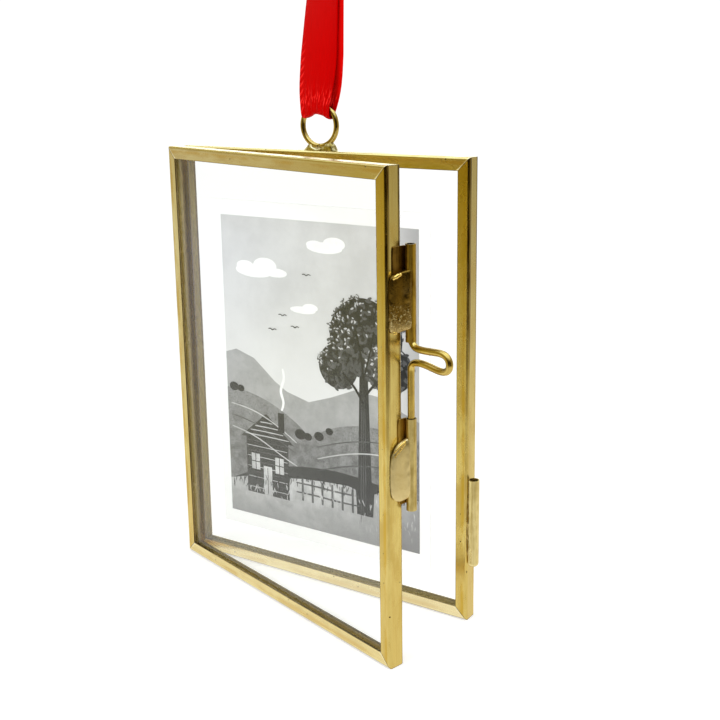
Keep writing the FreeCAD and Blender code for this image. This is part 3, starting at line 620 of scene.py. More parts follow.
def woven_satin(name, red, half_run):
    """Polyester satin ribbon. The eye sees long floats along the ribbon that shine across it,
    slanting stitches in one woven edge, short creases where it is drawn over the wire with painted
    highlights on them, and deep red along some floats. Painted shade darkens it towards its right
    edge, and the strand behind is painted brighter as painted light."""
    gloss = {"Roughness": 0.4, "Anisotropic": 0.5, "Specular IOR Level": 0.2}
    sheen = {"Sheen Weight": 0.06, "Sheen Roughness": 0.4, "Sheen Tint": "#FF1808"}
    made, new, shader, _ = blank(name, **gloss, **sheen, **{"Specular Tint": "#FF1808"})
    cloth = new(COORDINATES, out="UV")
    across, length = new("ShaderNodeSeparateXYZ", [cloth]).outputs[:2]
    threads = new(MAPPING, {"Vector": cloth, "Scale": (9.0, 0.35, 1)}, 0)
    floats = new(NOISE, {"Vector": threads, "Scale": 1.0, "Detail": 3.0}, 0)
    # Slanting stitches: thin bright bars in a noisy row beside the left edge.
    half = sizes().ribbon_width / MM / 2
    rim = new(MATH, [across, half], 0, **PLUS)
    selvage = new(RANGE, [rim, 0.8, 1.3, 1, 0], 0, **SMOOTH)
    slant = new(MATH, [across, 1.1, length], 0, **TIMES_PLUS)
    bars = new("ShaderNodeCombineXYZ", [slant], 0)
    bars = new(
        "ShaderNodeTexWave", {"Vector": bars, "Scale": 0.2, "Distortion": 0.6, "Detail": 1.0},
        "Fac",
    )
    bars = new(RANGE, [bars, 0.6, 0.95], 0, **SMOOTH)
    stitches = new(MATH, [selvage, bars], 0, **TIMES)
    up = new("ShaderNodeSeparateXYZ", [new(COORDINATES, out="Object")], 2)
    pulled = new(RANGE, [up, 112 * MM, 121 * MM, 0.8, 0.08], 0, **SMOOTH)
    stitches = new(MATH, [stitches, pulled], 0, **TIMES)
    # Creases above the wire: painted highlights, bright threads that fan out from it.
    near_wire = new(RANGE, [up, 105.2 * MM, 106.4 * MM], 0, **SMOOTH)
    fades = new(RANGE, [up, 106.8 * MM, 110.5 * MM, 1, 0], 0, **SMOOTH)
    spread = new(MAPPING, {"Vector": cloth, "Scale": (2.4, 0.42, 1), "Rotation": (0, 0, 0.45)}, 0)
    creases = new(NOISE, {"Vector": spread, "Scale": 1.5, "Detail": 2.0}, 0)
    creases = new(RANGE, [creases, 0.53, 0.62], 0, **SMOOTH)
    fan = near_wire
    for part in (fades, creases):
        fan = new(MATH, [fan, part], 0, **TIMES)
    deep = tuple(c * 0.62 for c in red)
    dim = new(RANGE, [floats, 0.35, 0.65, 0, 0.3], 0, **SMOOTH)
    # Painted shade: darker towards the right edge, where the cloth turns away.
    turned = new(RANGE, [across, 2.0, 4.5, 0, 0.2], 0, **SMOOTH)
    dim = new(MATH, [dim, turned], 0, **PLUS)
    # The strand behind is painted brighter: painted light, standing in for light coming through the
    # cloth.
    rear = new(RANGE, [length, half_run, half_run + 6], 0, **SMOOTH)
    marks = new(MATH, [stitches, fan], 0, **LARGER)
    soft = new(MATH, [marks, 0.7], 0, **TIMES)
    base = red
    for share, colour in ((dim, deep), (rear, "#CE0402"), (soft, "#FF302C")):
        base = new(MIX, {0: share, 6: base, 7: colour}, 2, **COLOURS)
    height = new(MATH, [floats, 0.5, marks], 0, **TIMES_PLUS)
    bump = new(BUMP, {"Height": height, "Strength": 0.35, "Distance": 0.06 * MM}, 0)
    return joined(made, shader, Base_Color=base, Normal=bump)


def dress(piece, material):
    """Puts one material on every slot of a piece."""
    if not piece.material_slots:
        piece.data.materials.append(material)
    for slot in piece.material_slots:
        slot.material = material


# --------------------------------------------------------------- operators


class PICTUREFRAME_OT_stage(bpy.types.Operator):
    """Makes the pale floor, the soft studio light and the camera"""

    bl_idname = "pictureframe.stage"
    bl_label = "Stage and camera"

    def execute(self, context):
        scene = context.scene
        scene.view_settings.view_transform = "Standard"
        reach = 1500
        a = np.linspace(-reach, reach, 5)
        grid = np.stack(np.meshgrid(a, a), -1)
        floor = skin("floor", np.dstack([grid, 0 * grid[..., 0] - 0.05]), closed=False)
        # Painted board: flat white with hardly any gloss.
        gloss = {"Roughness": 0.9, "Specular IOR Level": 0.1}
        glow = {"Emission Color": "#FFFFFF", "Emission Strength": 0.37}
        made, new, shader, result = blank("matt white studio floor", **gloss, **glow)
        speck = new(NOISE, {"Scale": 30.0, "Detail": 2.0}, 0)
        paint = new(MIX, {0: speck, 6: "#F0F0F0", 7: "#F2F2F2"}, 2, **COLOURS)
        joined(made, shader, Base_Color=paint)
        # Away from the object the floor turns to plain white, so that it meets
        # the backdrop without a line, and metal sees the studio through it.
        spot = new(COORDINATES, out="Object")
        length = new(VECTORS, [spot], "Value", operation="LENGTH")
        far = new(RANGE, [length, 0.1, 0.26], 0, **SMOOTH)
        plain = new("ShaderNodeEmission", {"Color": "#FFFFFF", "Strength": 1.08}, 0)
        open_air = new("ShaderNodeBsdfTransparent", out=0)
        rays = new("ShaderNodeLightPath").outputs
        seen = new(MATH, [rays["Is Camera Ray"], rays["Is Transmission Ray"]], 0, **LARGER)
        far = new(MATH, [far, seen], 0, **TIMES)
        near = new("ShaderNodeMixShader", [far, shader.outputs[0], plain], 0)
        mirrored = new(MATH, [rays["Glossy Depth"], 0.5], 0, **ABOVE)
        both = new("ShaderNodeMixShader", [mirrored, near, open_air], 0)
        joined(made, result, Surface=both)
        dress(floor, made)

        world = bpy.data.worlds.new("soft studio")
        scene.world = world
        world.use_nodes = True
        world.node_tree.nodes.clear()
        new = partial(add, world.node_tree)
        way = new(COORDINATES, out="Generated")
        up = new("ShaderNodeSeparateXYZ", [way], 2)
        # What polished metal mirrors, as one level of light: the white floor
        # below, white cloth behind, a reflector on the left, and the dim room
        # on the camera's side. The dimmer it is, the deeper its amber.
        below = new(RANGE, [up, -0.42, -0.08, 1, 0], 0, **SMOOTH)
        # Each side of the room is the cosine of the angle to its direction, eased.
        behind, reflector, room, cool = (
            new(RANGE, [new(VECTORS, [way, side], "Value", **FACING), *ends], 0, **SMOOTH)
            for side, ends in (
                ((-0.5, 0.86, 0), (0.5, 0.9)),
                ((-1, 0, 0), (0.9, 0.96)),
                ((0.5, -0.866, 0), (0.35, 0.85)),
                ((0.467, 0.87, 0), (0.45, 0.9)),
            )
        )
        lowly = new(RANGE, [up, 0.12, 0.35, 1, 0.34], 0, **SMOOTH)
        behind = new(MATH, [behind, lowly], 0, **TIMES)
        white = new(MATH, [behind, below], 0, **LARGER)
        under = new(RANGE, [up, -0.17, -0.09, 1, 0], 0, **SMOOTH)
        left = new(MATH, [reflector, under], 0, **TIMES)
        left = new(MATH, [left, 0.45, 0.45], 0, **TIMES_PLUS)
        level = new(MIX, {0: white, 2: left, 3: 1.0}, 0)
        beside_floor = new(RANGE, [up, -0.34, -0.23], 0, **SMOOTH)
        below_lamp = new(RANGE, [up, 0.35, 0.7, 1, 0], 0, **SMOOTH)
        for part in (beside_floor, below_lamp):
            room = new(MATH, [room, part], 0, **TIMES)
        level = new(MIX, {0: room, 2: level, 3: 0.02}, 0)
        stops = (
            (0.0, (0.0, 0.0, 0.0)),
            (0.1, (0.1, 0.06, 0.004)),
            (0.36, (0.36, 0.27, 0.0)),
            (0.54, (0.54, 0.45, 0.07)),
            (0.72, (0.72, 0.66, 0.3)),
            (1.0, (1.08, 1.08, 1.04)),
        )
        mirror = new("ShaderNodeValToRGB", [level], 0, stops=stops)
        # White walls on the right and behind are dim but not amber.
        walls = new(
            "ShaderNodeValToRGB", [level], 0,
            stops=((0.0, (0.0, 0.0, 0.0)), (1.0, (1.02, 0.98, 0.86))),
        )
        # The reflector on the left is a cool white above the floor's line.
        band = new(RANGE, [up, -0.37, -0.31], 0, **SMOOTH)
        glare = new(MATH, [under, 0.45, 0.55], 0, **TIMES_PLUS)
        for part in (band, reflector):
            glare = new(MATH, [glare, part], 0, **TIMES)
        # The cloth behind is brightest in a low band, and cool light comes from overhead.
        crest = new(RANGE, [up, 0.0, 0.08], 0, **SMOOTH)
        level_view = new(RANGE, [up, 0.16, 0.3, 1, 0], 0, **SMOOTH)
        for part in (behind, level_view):
            crest = new(MATH, [crest, part], 0, **TIMES)
        above = new(RANGE, [up, 0.45, 0.85], 0, **SMOOTH)
        for share, colour in (
            (cool, walls),
            (glare, (0.95, 1.02, 1.3)),
            (crest, (2.3, 2.35, 2.1)),
            (above, (1.9, 2.2, 2.6)),
        ):
            mirror = new(MIX, {0: share, 6: mirror, 7: colour}, 2, **COLOURS)
        rays = new("ShaderNodeLightPath").outputs
        seen = new(MATH, [rays["Is Camera Ray"], rays["Is Transmission Ray"]], 0, **LARGER)
        light = new(MIX, {0: seen, 6: (0.71, 0.71, 0.71), 7: (1.08, 1.08, 1.08)}, 2, **COLOURS)
        mirrored = new(MATH, [rays["Glossy Depth"], 0.5], 0, **ABOVE)
        light = new(MIX, {0: mirrored, 6: light, 7: mirror}, 2, **COLOURS)
        sky = new("ShaderNodeBackground", [light], 0)
        new("ShaderNodeOutputWorld", [sky])

        for name, place, size, watts in (
            ("softbox_left", (-190, -520, 400), 360, 1.3),
            ("softbox_right", (420, -160, 260), 220, 0.7),
        ):
            lamp = bpy.data.lights.new(name, "AREA")
            lamp.shape, lamp.size, lamp.energy = "SQUARE", size * MM, watts
            holder = bpy.data.objects.new(name, lamp)
            holder.location = [v * MM for v in place]
            holder.visible_glossy = False
            aim = Vector((0, 0, 0.05)) - holder.location
            holder.rotation_euler = aim.to_track_quat("-Z", "Y").to_euler()
            context.collection.objects.link(holder)

        # Place, turn, lens and shift were fitted to the frame's corners in the photo.
        lens = bpy.data.cameras.new("camera")
        lens.sensor_width, lens.lens = 36.0, 52.063
        lens.shift_x, lens.shift_y = -0.09866, -0.07567
        lens.clip_start = 0.01
        camera = bpy.data.objects.new("camera", lens)
        camera.location = (0.130776, -0.177627, 0.111185)
        camera.rotation_euler = (math.radians(77.7012), 0.0, math.radians(30.3226))
        context.collection.objects.link(camera)
        scene.camera = camera
        return {"FINISHED"}


class PICTUREFRAME_OT_channels(bpy.types.Operator):
    """Gives the eight folded rails their brass"""

    bl_idname = "pictureframe.channels"
    bl_label = "Brass channels"

    def execute(self, context):
        for rails, on_door in ((BACK_RAILS, False), (DOOR_RAILS, True)):
            side = "door" if on_door else "back"
            level = channel_brass(f"rolled brass strip, level, {side}", "x", on_door)
            upright = channel_brass(f"rolled brass strip, upright, {side}", "z", on_door)
            for rail in rails:
                lies = "top" in rail or "bottom" in rail
                dress(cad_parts[rail], level if lies else upright)
        return {"FINISHED"}


class PICTUREFRAME_OT_panes(bpy.types.Operator):
    """Gives the two panes their glass"""

    bl_idname = "pictureframe.panes"
    bl_label = "Glass panes"

    def execute(self, context):
        glass = float_glass("clear float glass")
        for pane in ("back_pane", "door_pane"):
            dress(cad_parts[pane], glass)
        return {"FINISHED"}


class PICTUREFRAME_OT_hinge(bpy.types.Operator):
    """Gives the hinge leaves, the pin and the three small tubes their brass"""

    bl_idname = "pictureframe.hinge"
    bl_label = "Hinge and tubes"

    def execute(self, context):
        leaf = drawn_brass("rolled brass knuckle", 0.26, "#D6C27C", "#A88A44", 0.6)
        for name in ("lower_hinge_leaf", "middle_hinge_leaf", "upper_hinge_leaf"):
            dress(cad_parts[name], leaf)
        pin = drawn_brass("drawn brass pin", 0.2, "#D2BE78", "#A0823C", 0.3)
        dress(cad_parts["hinge_pin"], pin)
        # The three tubes are one brass; their colours are painted shade and light: darkest at the
        # upper guide, paler at the lower guide, palest at the keeper.
        for name, stuff in (
            ("upper_guide_tube", ("#B8963C", "#705010")),
            ("lower_guide_tube", ("#D4BF80", "#A88E48")),
            ("keeper_tube", ("#E6D498", "#CBB472")),
        ):
            low, high = (np.array(c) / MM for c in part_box(name))
            axis = tuple((low + high)[:2] / 2)
            title = "rolled brass tube, " + name.split("_")[0]
            tube = drawn_brass(title, 0.26, *stuff, 0.4, bore=axis)
            dress(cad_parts[name], tube)
        # The strip that each guide is rolled from runs on as a short tab, flat
        # against the rail: a rounded outline drawn in at both faces of a slab.
        side_face = -1.24  # the rail's side, from the guides' axis
        # The tabs' dark browns are painted shade where they lie between rail and tube, with some
        # oxide; the upper tab is darkest.
        for name, foot, head, front, stuff in (
            ("upper", 67.6, 82.2, -3.4, ("#8A6A2C", "#3A2508")),
            ("lower", 33.2, 50.0, -2.3, ("#B8964A", "#7A5A1C")),
        ):
            turn = np.linspace(0, 2 * np.pi, 48, endpoint=False)
            across, along = (np.sign(v) * np.abs(v) ** 0.16 for v in (np.cos(turn), np.sin(turn)))
            back = -0.1
            middle, centre = (front + back) / 2, (foot + head) / 2
            face = np.array([0.0, 0.0, 0.06, 0.2, 0.26, 0.26])[:, None]
            draw_in = np.array([0.9, 0.97, 1.0, 1.0, 0.97, 0.9])[:, None]
            grid = door_point(
                side_face + face + 0 * across,
                middle + draw_in * across * (back - front) / 2,
                centre + (0.8 + draw_in / 5) * along * (head - foot) / 2,
            )
            tab = skin(f"{name}_guide_tab", grid)
            dress(tab, drawn_brass(f"rolled brass tab, {name}", 0.3, *stuff, 0.5))
            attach(tab, "door")
        return {"FINISHED"}


class PICTUREFRAME_OT_solder(bpy.types.Operator):
    """Runs the solder at the two guides, the keeper and the ring"""

    bl_idname = "pictureframe.solder"
    bl_label = "Solder"

    def execute(self, context):
        bumps = sizes().lumpiness / MM
        matt = run_solder(
            "soft solder, brass washed", colours().solder, "#C9B06E", 0.3, 0.45, 0.3, on_door=True
        )
        brown = run_solder(
            "soft solder, browned", "#CDB47A", colours().burnt, 0.5, 0.3, 0.7,
            heights=(66.4, 70.0, 72.5), on_door=True,
        )
        plain = run_solder(
            "soft solder, brass washed, keeper", "#D8C080", "#8A6A24", 0.5, 0.45, 0.3,
        )
        yellow = run_solder("soft solder, pooled", "#F0E6B8", "#96803C", 0.46, 0.24, 0.5)
        # The beads are painted a deeper, brighter gold than the runs they lie on: partly solder
        # beads, partly a painted highlight along the runs' rims.
        bright = run_solder("solder bead, painted bright", "#F0CC70", "#B08424", 0.35, 0.24, 0.3)
        # From the rail's edge across the gap to the tube. Each run stops at the
        # tube's front, leaves its right side bare and comes back behind it.
        start = [(-1.6, -4.2), (-1.0, -4.45), (-0.5, -3.9), (-0.1, -2.9), (0.2, -1.9)]
        end = [(-0.3, 0.8), (-1.25, -1.15), (-1.75, -2.5)]
        round_upper = [(0.7, -1.2), (0.98, -0.62), (0.55, -0.2), (-0.1, 0.7)]
        round_lower = [(0.5, -1.2), (0.72, -0.84), (0.35, -0.3), (-0.1, 0.7)]
        core = (0.0, -0.4)
        upper_grid = lump(
            start + round_upper + end, core, 67.3, 78.2, 7, door_point,
            (bumps * 0.4, 0.0), 3, size=1.3, lean=0.28,
        )
        lower_grid = lump(
            start + round_lower + end, core, 34.9, 46.6, 3.4, door_point,
            (bumps * 0.25, bumps * 0.2), 7, size=2.4, lean=0.36,
        )
        upper = skin("upper_guide_solder_run", upper_grid)
        lower = skin("lower_guide_solder_run", lower_grid)
        # Beads lie on the runs: a round profile, thin at both ends, carried along
        # a straight line between two places of the run's own grid.
        for name, thick, grid, rows, cols in (
            ("upper_solder_bead", 0.42, upper_grid, (37, 40), (17, 33)),
            ("upper_solder_drip", 0.3, upper_grid, (4, 3), (12, 24)),
            ("lower_solder_ridge", 0.2, lower_grid, (34, 41), (12, 36)),
            ("lower_solder_crest", 0.14, lower_grid, (31, 37), (18, 38)),
        ):
            row = np.linspace(*rows, 16).round().astype(int)
            col = np.linspace(*cols, 16).round().astype(int)
            path = smooth_line(grid[row, col], 3)
            along = np.linspace(-1, 1, len(path))[1:-1]
            taper = np.sqrt(1 - along**2)[:, None, None]
            bead = carried(path[1:-1], taper * circle(thick, 14), (0.75, -0.65, 0.1))
            bead += 0.04 * waves(bead, 0.8, 31)[..., None]
            piece = skin(name, bead)
            dress(piece, bright)
            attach(piece, "door")
        keeper_axis = np.array([37.65, -1.1])

        def by_keeper(along, back, up):
            return np.stack([keeper_axis[0] + along, keeper_axis[1] + back, up], -1)

        foot = [
            (-1.3, -0.9), (-0.6, -1.0), (0.1, -0.7), (0.3, 0.0), (0.3, 0.9), (-0.1, 1.9),
            (-0.8, 2.3), (-1.3, 2.2), (-1.5, 0.6),
        ]
        bulge = (bumps * 0.5, bumps * 0.5)
        grid = lump(foot, (-0.9, 0.6), 14.0, 28.4, 4, by_keeper, bulge, 11)
        keeper = skin("keeper_solder_run", grid)

        # The pool under the ring: along x, a closed profile whose height and half
        # width follow two smooth lines, a half ellipse above and nearly flat below.
        pool = smooth_line(
            [
                (-4.0, 0.0, 0.1), (-3.5, 0.5, 0.8), (-2.6, 1.35, 1.0), (-1.9, 1.45, 1.0),
                (-1.1, 0.8, 1.1), (0.0, 0.6, 1.25), (1.2, 0.8, 1.15), (1.9, 1.8, 1.0),
                (2.8, 2.1, 1.0), (3.6, 1.6, 1.0), (4.1, 0.5, 0.8), (4.4, 0.0, 0.1),
            ],
            7,
        )
        x, height, half = (pool[:, i, None] for i in range(3))
        turn = np.linspace(0, 2 * np.pi, 40, endpoint=False)[None]
        over = np.where(np.sin(turn) > 0, np.sin(turn), 0.1 * np.sin(turn))
        rail_top = 96.47
        grid = np.stack(
            np.broadcast_arrays(x, half * np.cos(turn), rail_top + (height + 0.05) * over), -1
        )
        lift = np.clip(over, 0, 1)
        grid[..., 2] += lift * (0.09 * waves(grid, 1.4, 21) + 0.03 * waves(grid, 0.5, 22))
        blob = skin("ring_solder_run", grid)
        for piece, node, body, stuff in (
            (upper, "upper_guide_solder", "door", brown),
            (lower, "lower_guide_solder", "door", matt),
            (keeper, "keeper_solder", "back_frame", plain),
            (blob, "ring_solder", "back_frame", yellow),
        ):
            dress(piece, stuff)
            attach(piece, body)
            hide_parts(node)
        return {"FINISHED"}


class PICTUREFRAME_OT_bolt(bpy.types.Operator):
    """Bends the sliding bolt from one wire, with its finger loop"""

    bl_idname = "pictureframe.bolt"
    bl_label = "Sliding bolt"

    def execute(self, context):
        radius = sizes().bolt_wire / MM
        line = [
            (0, 77.2), (0, 74), (0, 68), (0, 65.7), (0.15, 64.7), (0.75, 63.75), (1.9, 63.45),
            (3.8, 63.5), (6.0, 63.7), (7.9, 63.85), (9.5, 63.5), (10.15, 62.1), (9.6, 60.75),
            (7.9, 60.4), (6.0, 60.65), (3.9, 60.95), (2.1, 61.0), (0.85, 60.8), (0.02, 60.0),
            (0, 59.1), (0, 57.5), (0, 50), (0, 40), (0, 34), (0, 32.8),
        ]
        path = smooth_line(line, 8)
        path = np.stack([path[:, 0], 0 * path[:, 0], path[:, 1]], -1)
        rim = np.array([0.0, 0.5, 0.85])
        profile = np.repeat(circle(radius, 20)[None], len(path), 0)
        profile[:3] *= rim[:, None, None]
        profile[-3:] *= rim[::-1, None, None]
        grid = carried(path, profile, (0, 1, 0))
        grid = door_point(grid[..., 0], grid[..., 1], grid[..., 2])
        bolt = skin("latch_bolt_wire", grid, uv=round_and_along(path, 20))
        wire = drawn_brass("drawn brass wire", 0.17, "#D2B868", "#A3823A", 0.5, True)
        dress(bolt, wire)
        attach(bolt, "latch")
        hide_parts("latch_bolt")
        return {"FINISHED"}


class PICTUREFRAME_OT_ring(bpy.types.Operator):
    """Bends the hanging ring"""

    bl_idname = "pictureframe.ring"
    bl_label = "Hanging ring"

    def execute(self, context):
        gap = 0.06
        a = np.linspace(-np.pi / 2 + gap, 1.5 * np.pi - gap, 97)
        x, z = RING_LINE * np.cos(a), RING_CENTRE + RING_LINE * np.sin(a)
        path = np.stack([x, 0.12 * np.sin(a / 2 + 0.6), z], -1)
        profile = np.repeat(circle(RING_WIRE, 20)[None], len(path), 0)
        grid = carried(path, profile, (0, 1, 0))
        ring = skin("hanging_ring_wire", grid, uv=round_and_along(path, 20))
        wire = drawn_brass("bent brass ring wire", 0.17, "#CDB468", "#80622A", 0.5, True)
        dress(ring, wire)
        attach(ring, "back_frame")
        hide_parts("hanging_ring")
        return {"FINISHED"}


RIBBON_LINE = (
    (0.0, 170.0), (-1.4, 170.0), (-2.6, 168.9), (-2.7, 166.2), (-2.0, 162.5), (-1.1, 158.0),
    (-0.45, 152.0), (-0.2, 144.0), (-0.17, 134.0), (-0.17, 124.0), (-0.2, 117.0), (-0.38, 112.5),
    (-0.7, 109.0), (-0.9, 106.6), (-0.9, 105.0), (-0.5, 104.1), (0.0, 104.05),
)


class PICTUREFRAME_OT_ribbon(bpy.types.Operator):
    """Hangs the satin ribbon through the ring"""

    bl_idname = "pictureframe.ribbon"
    bl_label = "Satin ribbon"

    def execute(self, context):
        width = sizes().ribbon_width / MM
        there = np.array(RIBBON_LINE)
        lowest = there[-1, 1]
        whole = np.vstack([there, (there * (-1, 1))[::-1][1:]])
        path = smooth_line(whole, 10)
        step = np.linalg.norm(np.diff(path, axis=0), axis=1)
        run = np.concatenate([[0], np.cumsum(step)])
        u = np.linspace(-1, 1, 33)
        depth, up = path[:, 0, None], path[:, 1, None]
        above = up - lowest
        # Near the ring the cloth is drawn in to a narrower, gently arched fold;
        # its wrinkles are two cosines across it that die away upwards.
        gather = 1 - 0.22 * np.exp(-((above / 5) ** 2))
        x = u[None] * width / 2 * gather
        sag = 0.5 - 0.5 * np.cos(np.pi * (u[None] - 0.04)) + 0.06 * np.sin(9 * u[None])
        z = up - 1.0 * sag * np.exp(-above / 4)
        pleat = 0.05 * np.exp(-((above - 2.5) ** 2) / 14)
        broad = np.cos(2 * np.pi * (2.6 * u[None] + 0.05 * above + 0.2))
        folds = broad + np.cos(2 * np.pi * (4.7 * u[None] - 0.08 * above))
        side = np.clip(depth / 0.15, -1, 1)
        y = depth + side * pleat * (1.0 + folds)
        crown = np.clip(above / 8, 0, 1) * np.exp(-((above / 40) ** 2))
        y = y + side * 0.2 * (1 - u[None] ** 2) * crown
        back_shift = (side + 1) * 0.74 * (1 - np.exp(-above / 4))
        back_shift = back_shift * (1 - 0.3 * np.clip(above / 28, 0, 1))
        twist = -np.radians(15) * np.clip((above - 12) / 16, 0, 1)
        twist = twist * np.clip((66 - above) / 20, 0.3, 1)
        sway = 0.5 * np.clip(above / 28, 0, 1) ** 2 - 0.52
        lean = math.tan(math.radians(4.3)) * above + sway
        px = x * np.cos(twist) + back_shift + lean
        py = y + x * np.sin(twist)
        grid = np.stack(np.broadcast_arrays(px, py, z), -1)
        uv = np.stack(np.broadcast_arrays(u[None] * width / 2, run[:, None]), -1)
        ribbon = skin("hanging_ribbon_satin", grid, closed=False, uv=uv)
        finish_with(ribbon, "SOLIDIFY", thickness=sizes().ribbon_thickness, offset=0.0)
        dress(ribbon, woven_satin("woven satin ribbon", tuple(colours().satin), float(run[-1]) / 2))
        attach(ribbon, "back_frame")
        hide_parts("hanging_ribbon")
        return {"FINISHED"}


PRINT_FOOT = 12.3  # lower edge of the print, in mm
INK_FRONT = -1.69  # just before the source's own dark tones and the meadow


def leaves(centres, length, width, angle, points=8):
    """Lens shapes: round each centre, length times the cosine and width times the sine of even
    angles, turned by its angle."""
    a = np.arange(points) * 2 * np.pi / points
    x = np.cos(a) * np.asarray(length)[..., None]
    y = np.sin(a) * np.asarray(width)[..., None]
    c, s = np.cos(angle)[..., None], np.sin(angle)[..., None]
    return np.asarray(centres)[:, None] + np.stack([x * c - y * s, x * s + y * c], -1)


def stroke(points, width):
    """A pen stroke: a smooth line through the points, moved half its width to one side, then back
    along the other, and thinner at its ends."""
    line = smooth_line(points, 6)
    way = np.gradient(line, axis=0)
    way /= np.linalg.norm(way, axis=1)[:, None]
    side = np.stack([-way[:, 1], way[:, 0]], -1)
    thin = np.sqrt(np.sin(np.linspace(0.15, np.pi - 0.15, len(line))))[:, None]
    half = width / 2 * thin
    return np.vstack([line + side * half, (line - side * half)[::-1]])[None]


def box(x0, z0, x1, z1):
    """A rectangle as one outline."""
    return np.array([[(x0, z0), (x1, z0), (x1, z1), (x0, z1)]], float)


def inked(name, groups, front, thickness=0.012):
    """Thin flat solids from groups of outlines in the plane of the print: each outline is a front
    face, the same outline turned round behind it, and a strip of four-sided faces between them.
    Each lies a hair before the last, so that no two faces share a plane."""
    points, faces, start, laid = [], [], 0, 0
    for outlines in groups:
        count, corners = outlines.shape[:2]
        x, y = outlines[..., 0], outlines[..., 1]
        area = (x * np.roll(y, -1, 1) - np.roll(x, -1, 1) * y).sum(1)
        outlines = np.where(area[:, None, None] < 0, outlines[:, ::-1], outlines)
        order = (laid + np.arange(count)[:, None]) * 2e-5
        laid += count
        for depth in (front - order, front - order + thickness):
            x, z = outlines[..., 0], outlines[..., 1]
            points.append(np.stack([x, 0 * x + depth, z], -1).reshape(-1, 3))
        near = start + np.arange(count * corners).reshape(count, corners)
        far = near + count * corners
        faces += near.tolist() + far[:, ::-1].tolist()
        after, beyond = np.roll(near, -1, 1), np.roll(far, -1, 1)
        faces += np.stack([near, far, beyond, after], -1).reshape(-1, 4).tolist()
        start += 2 * count * corners
    mesh = bpy.data.meshes.new(name)
    mesh.from_pydata((np.vstack(points) * MM).tolist(), [], faces)
    mesh.update()
    piece = bpy.data.objects.new(name, mesh)
    bpy.context.collection.objects.link(piece)
    return piece


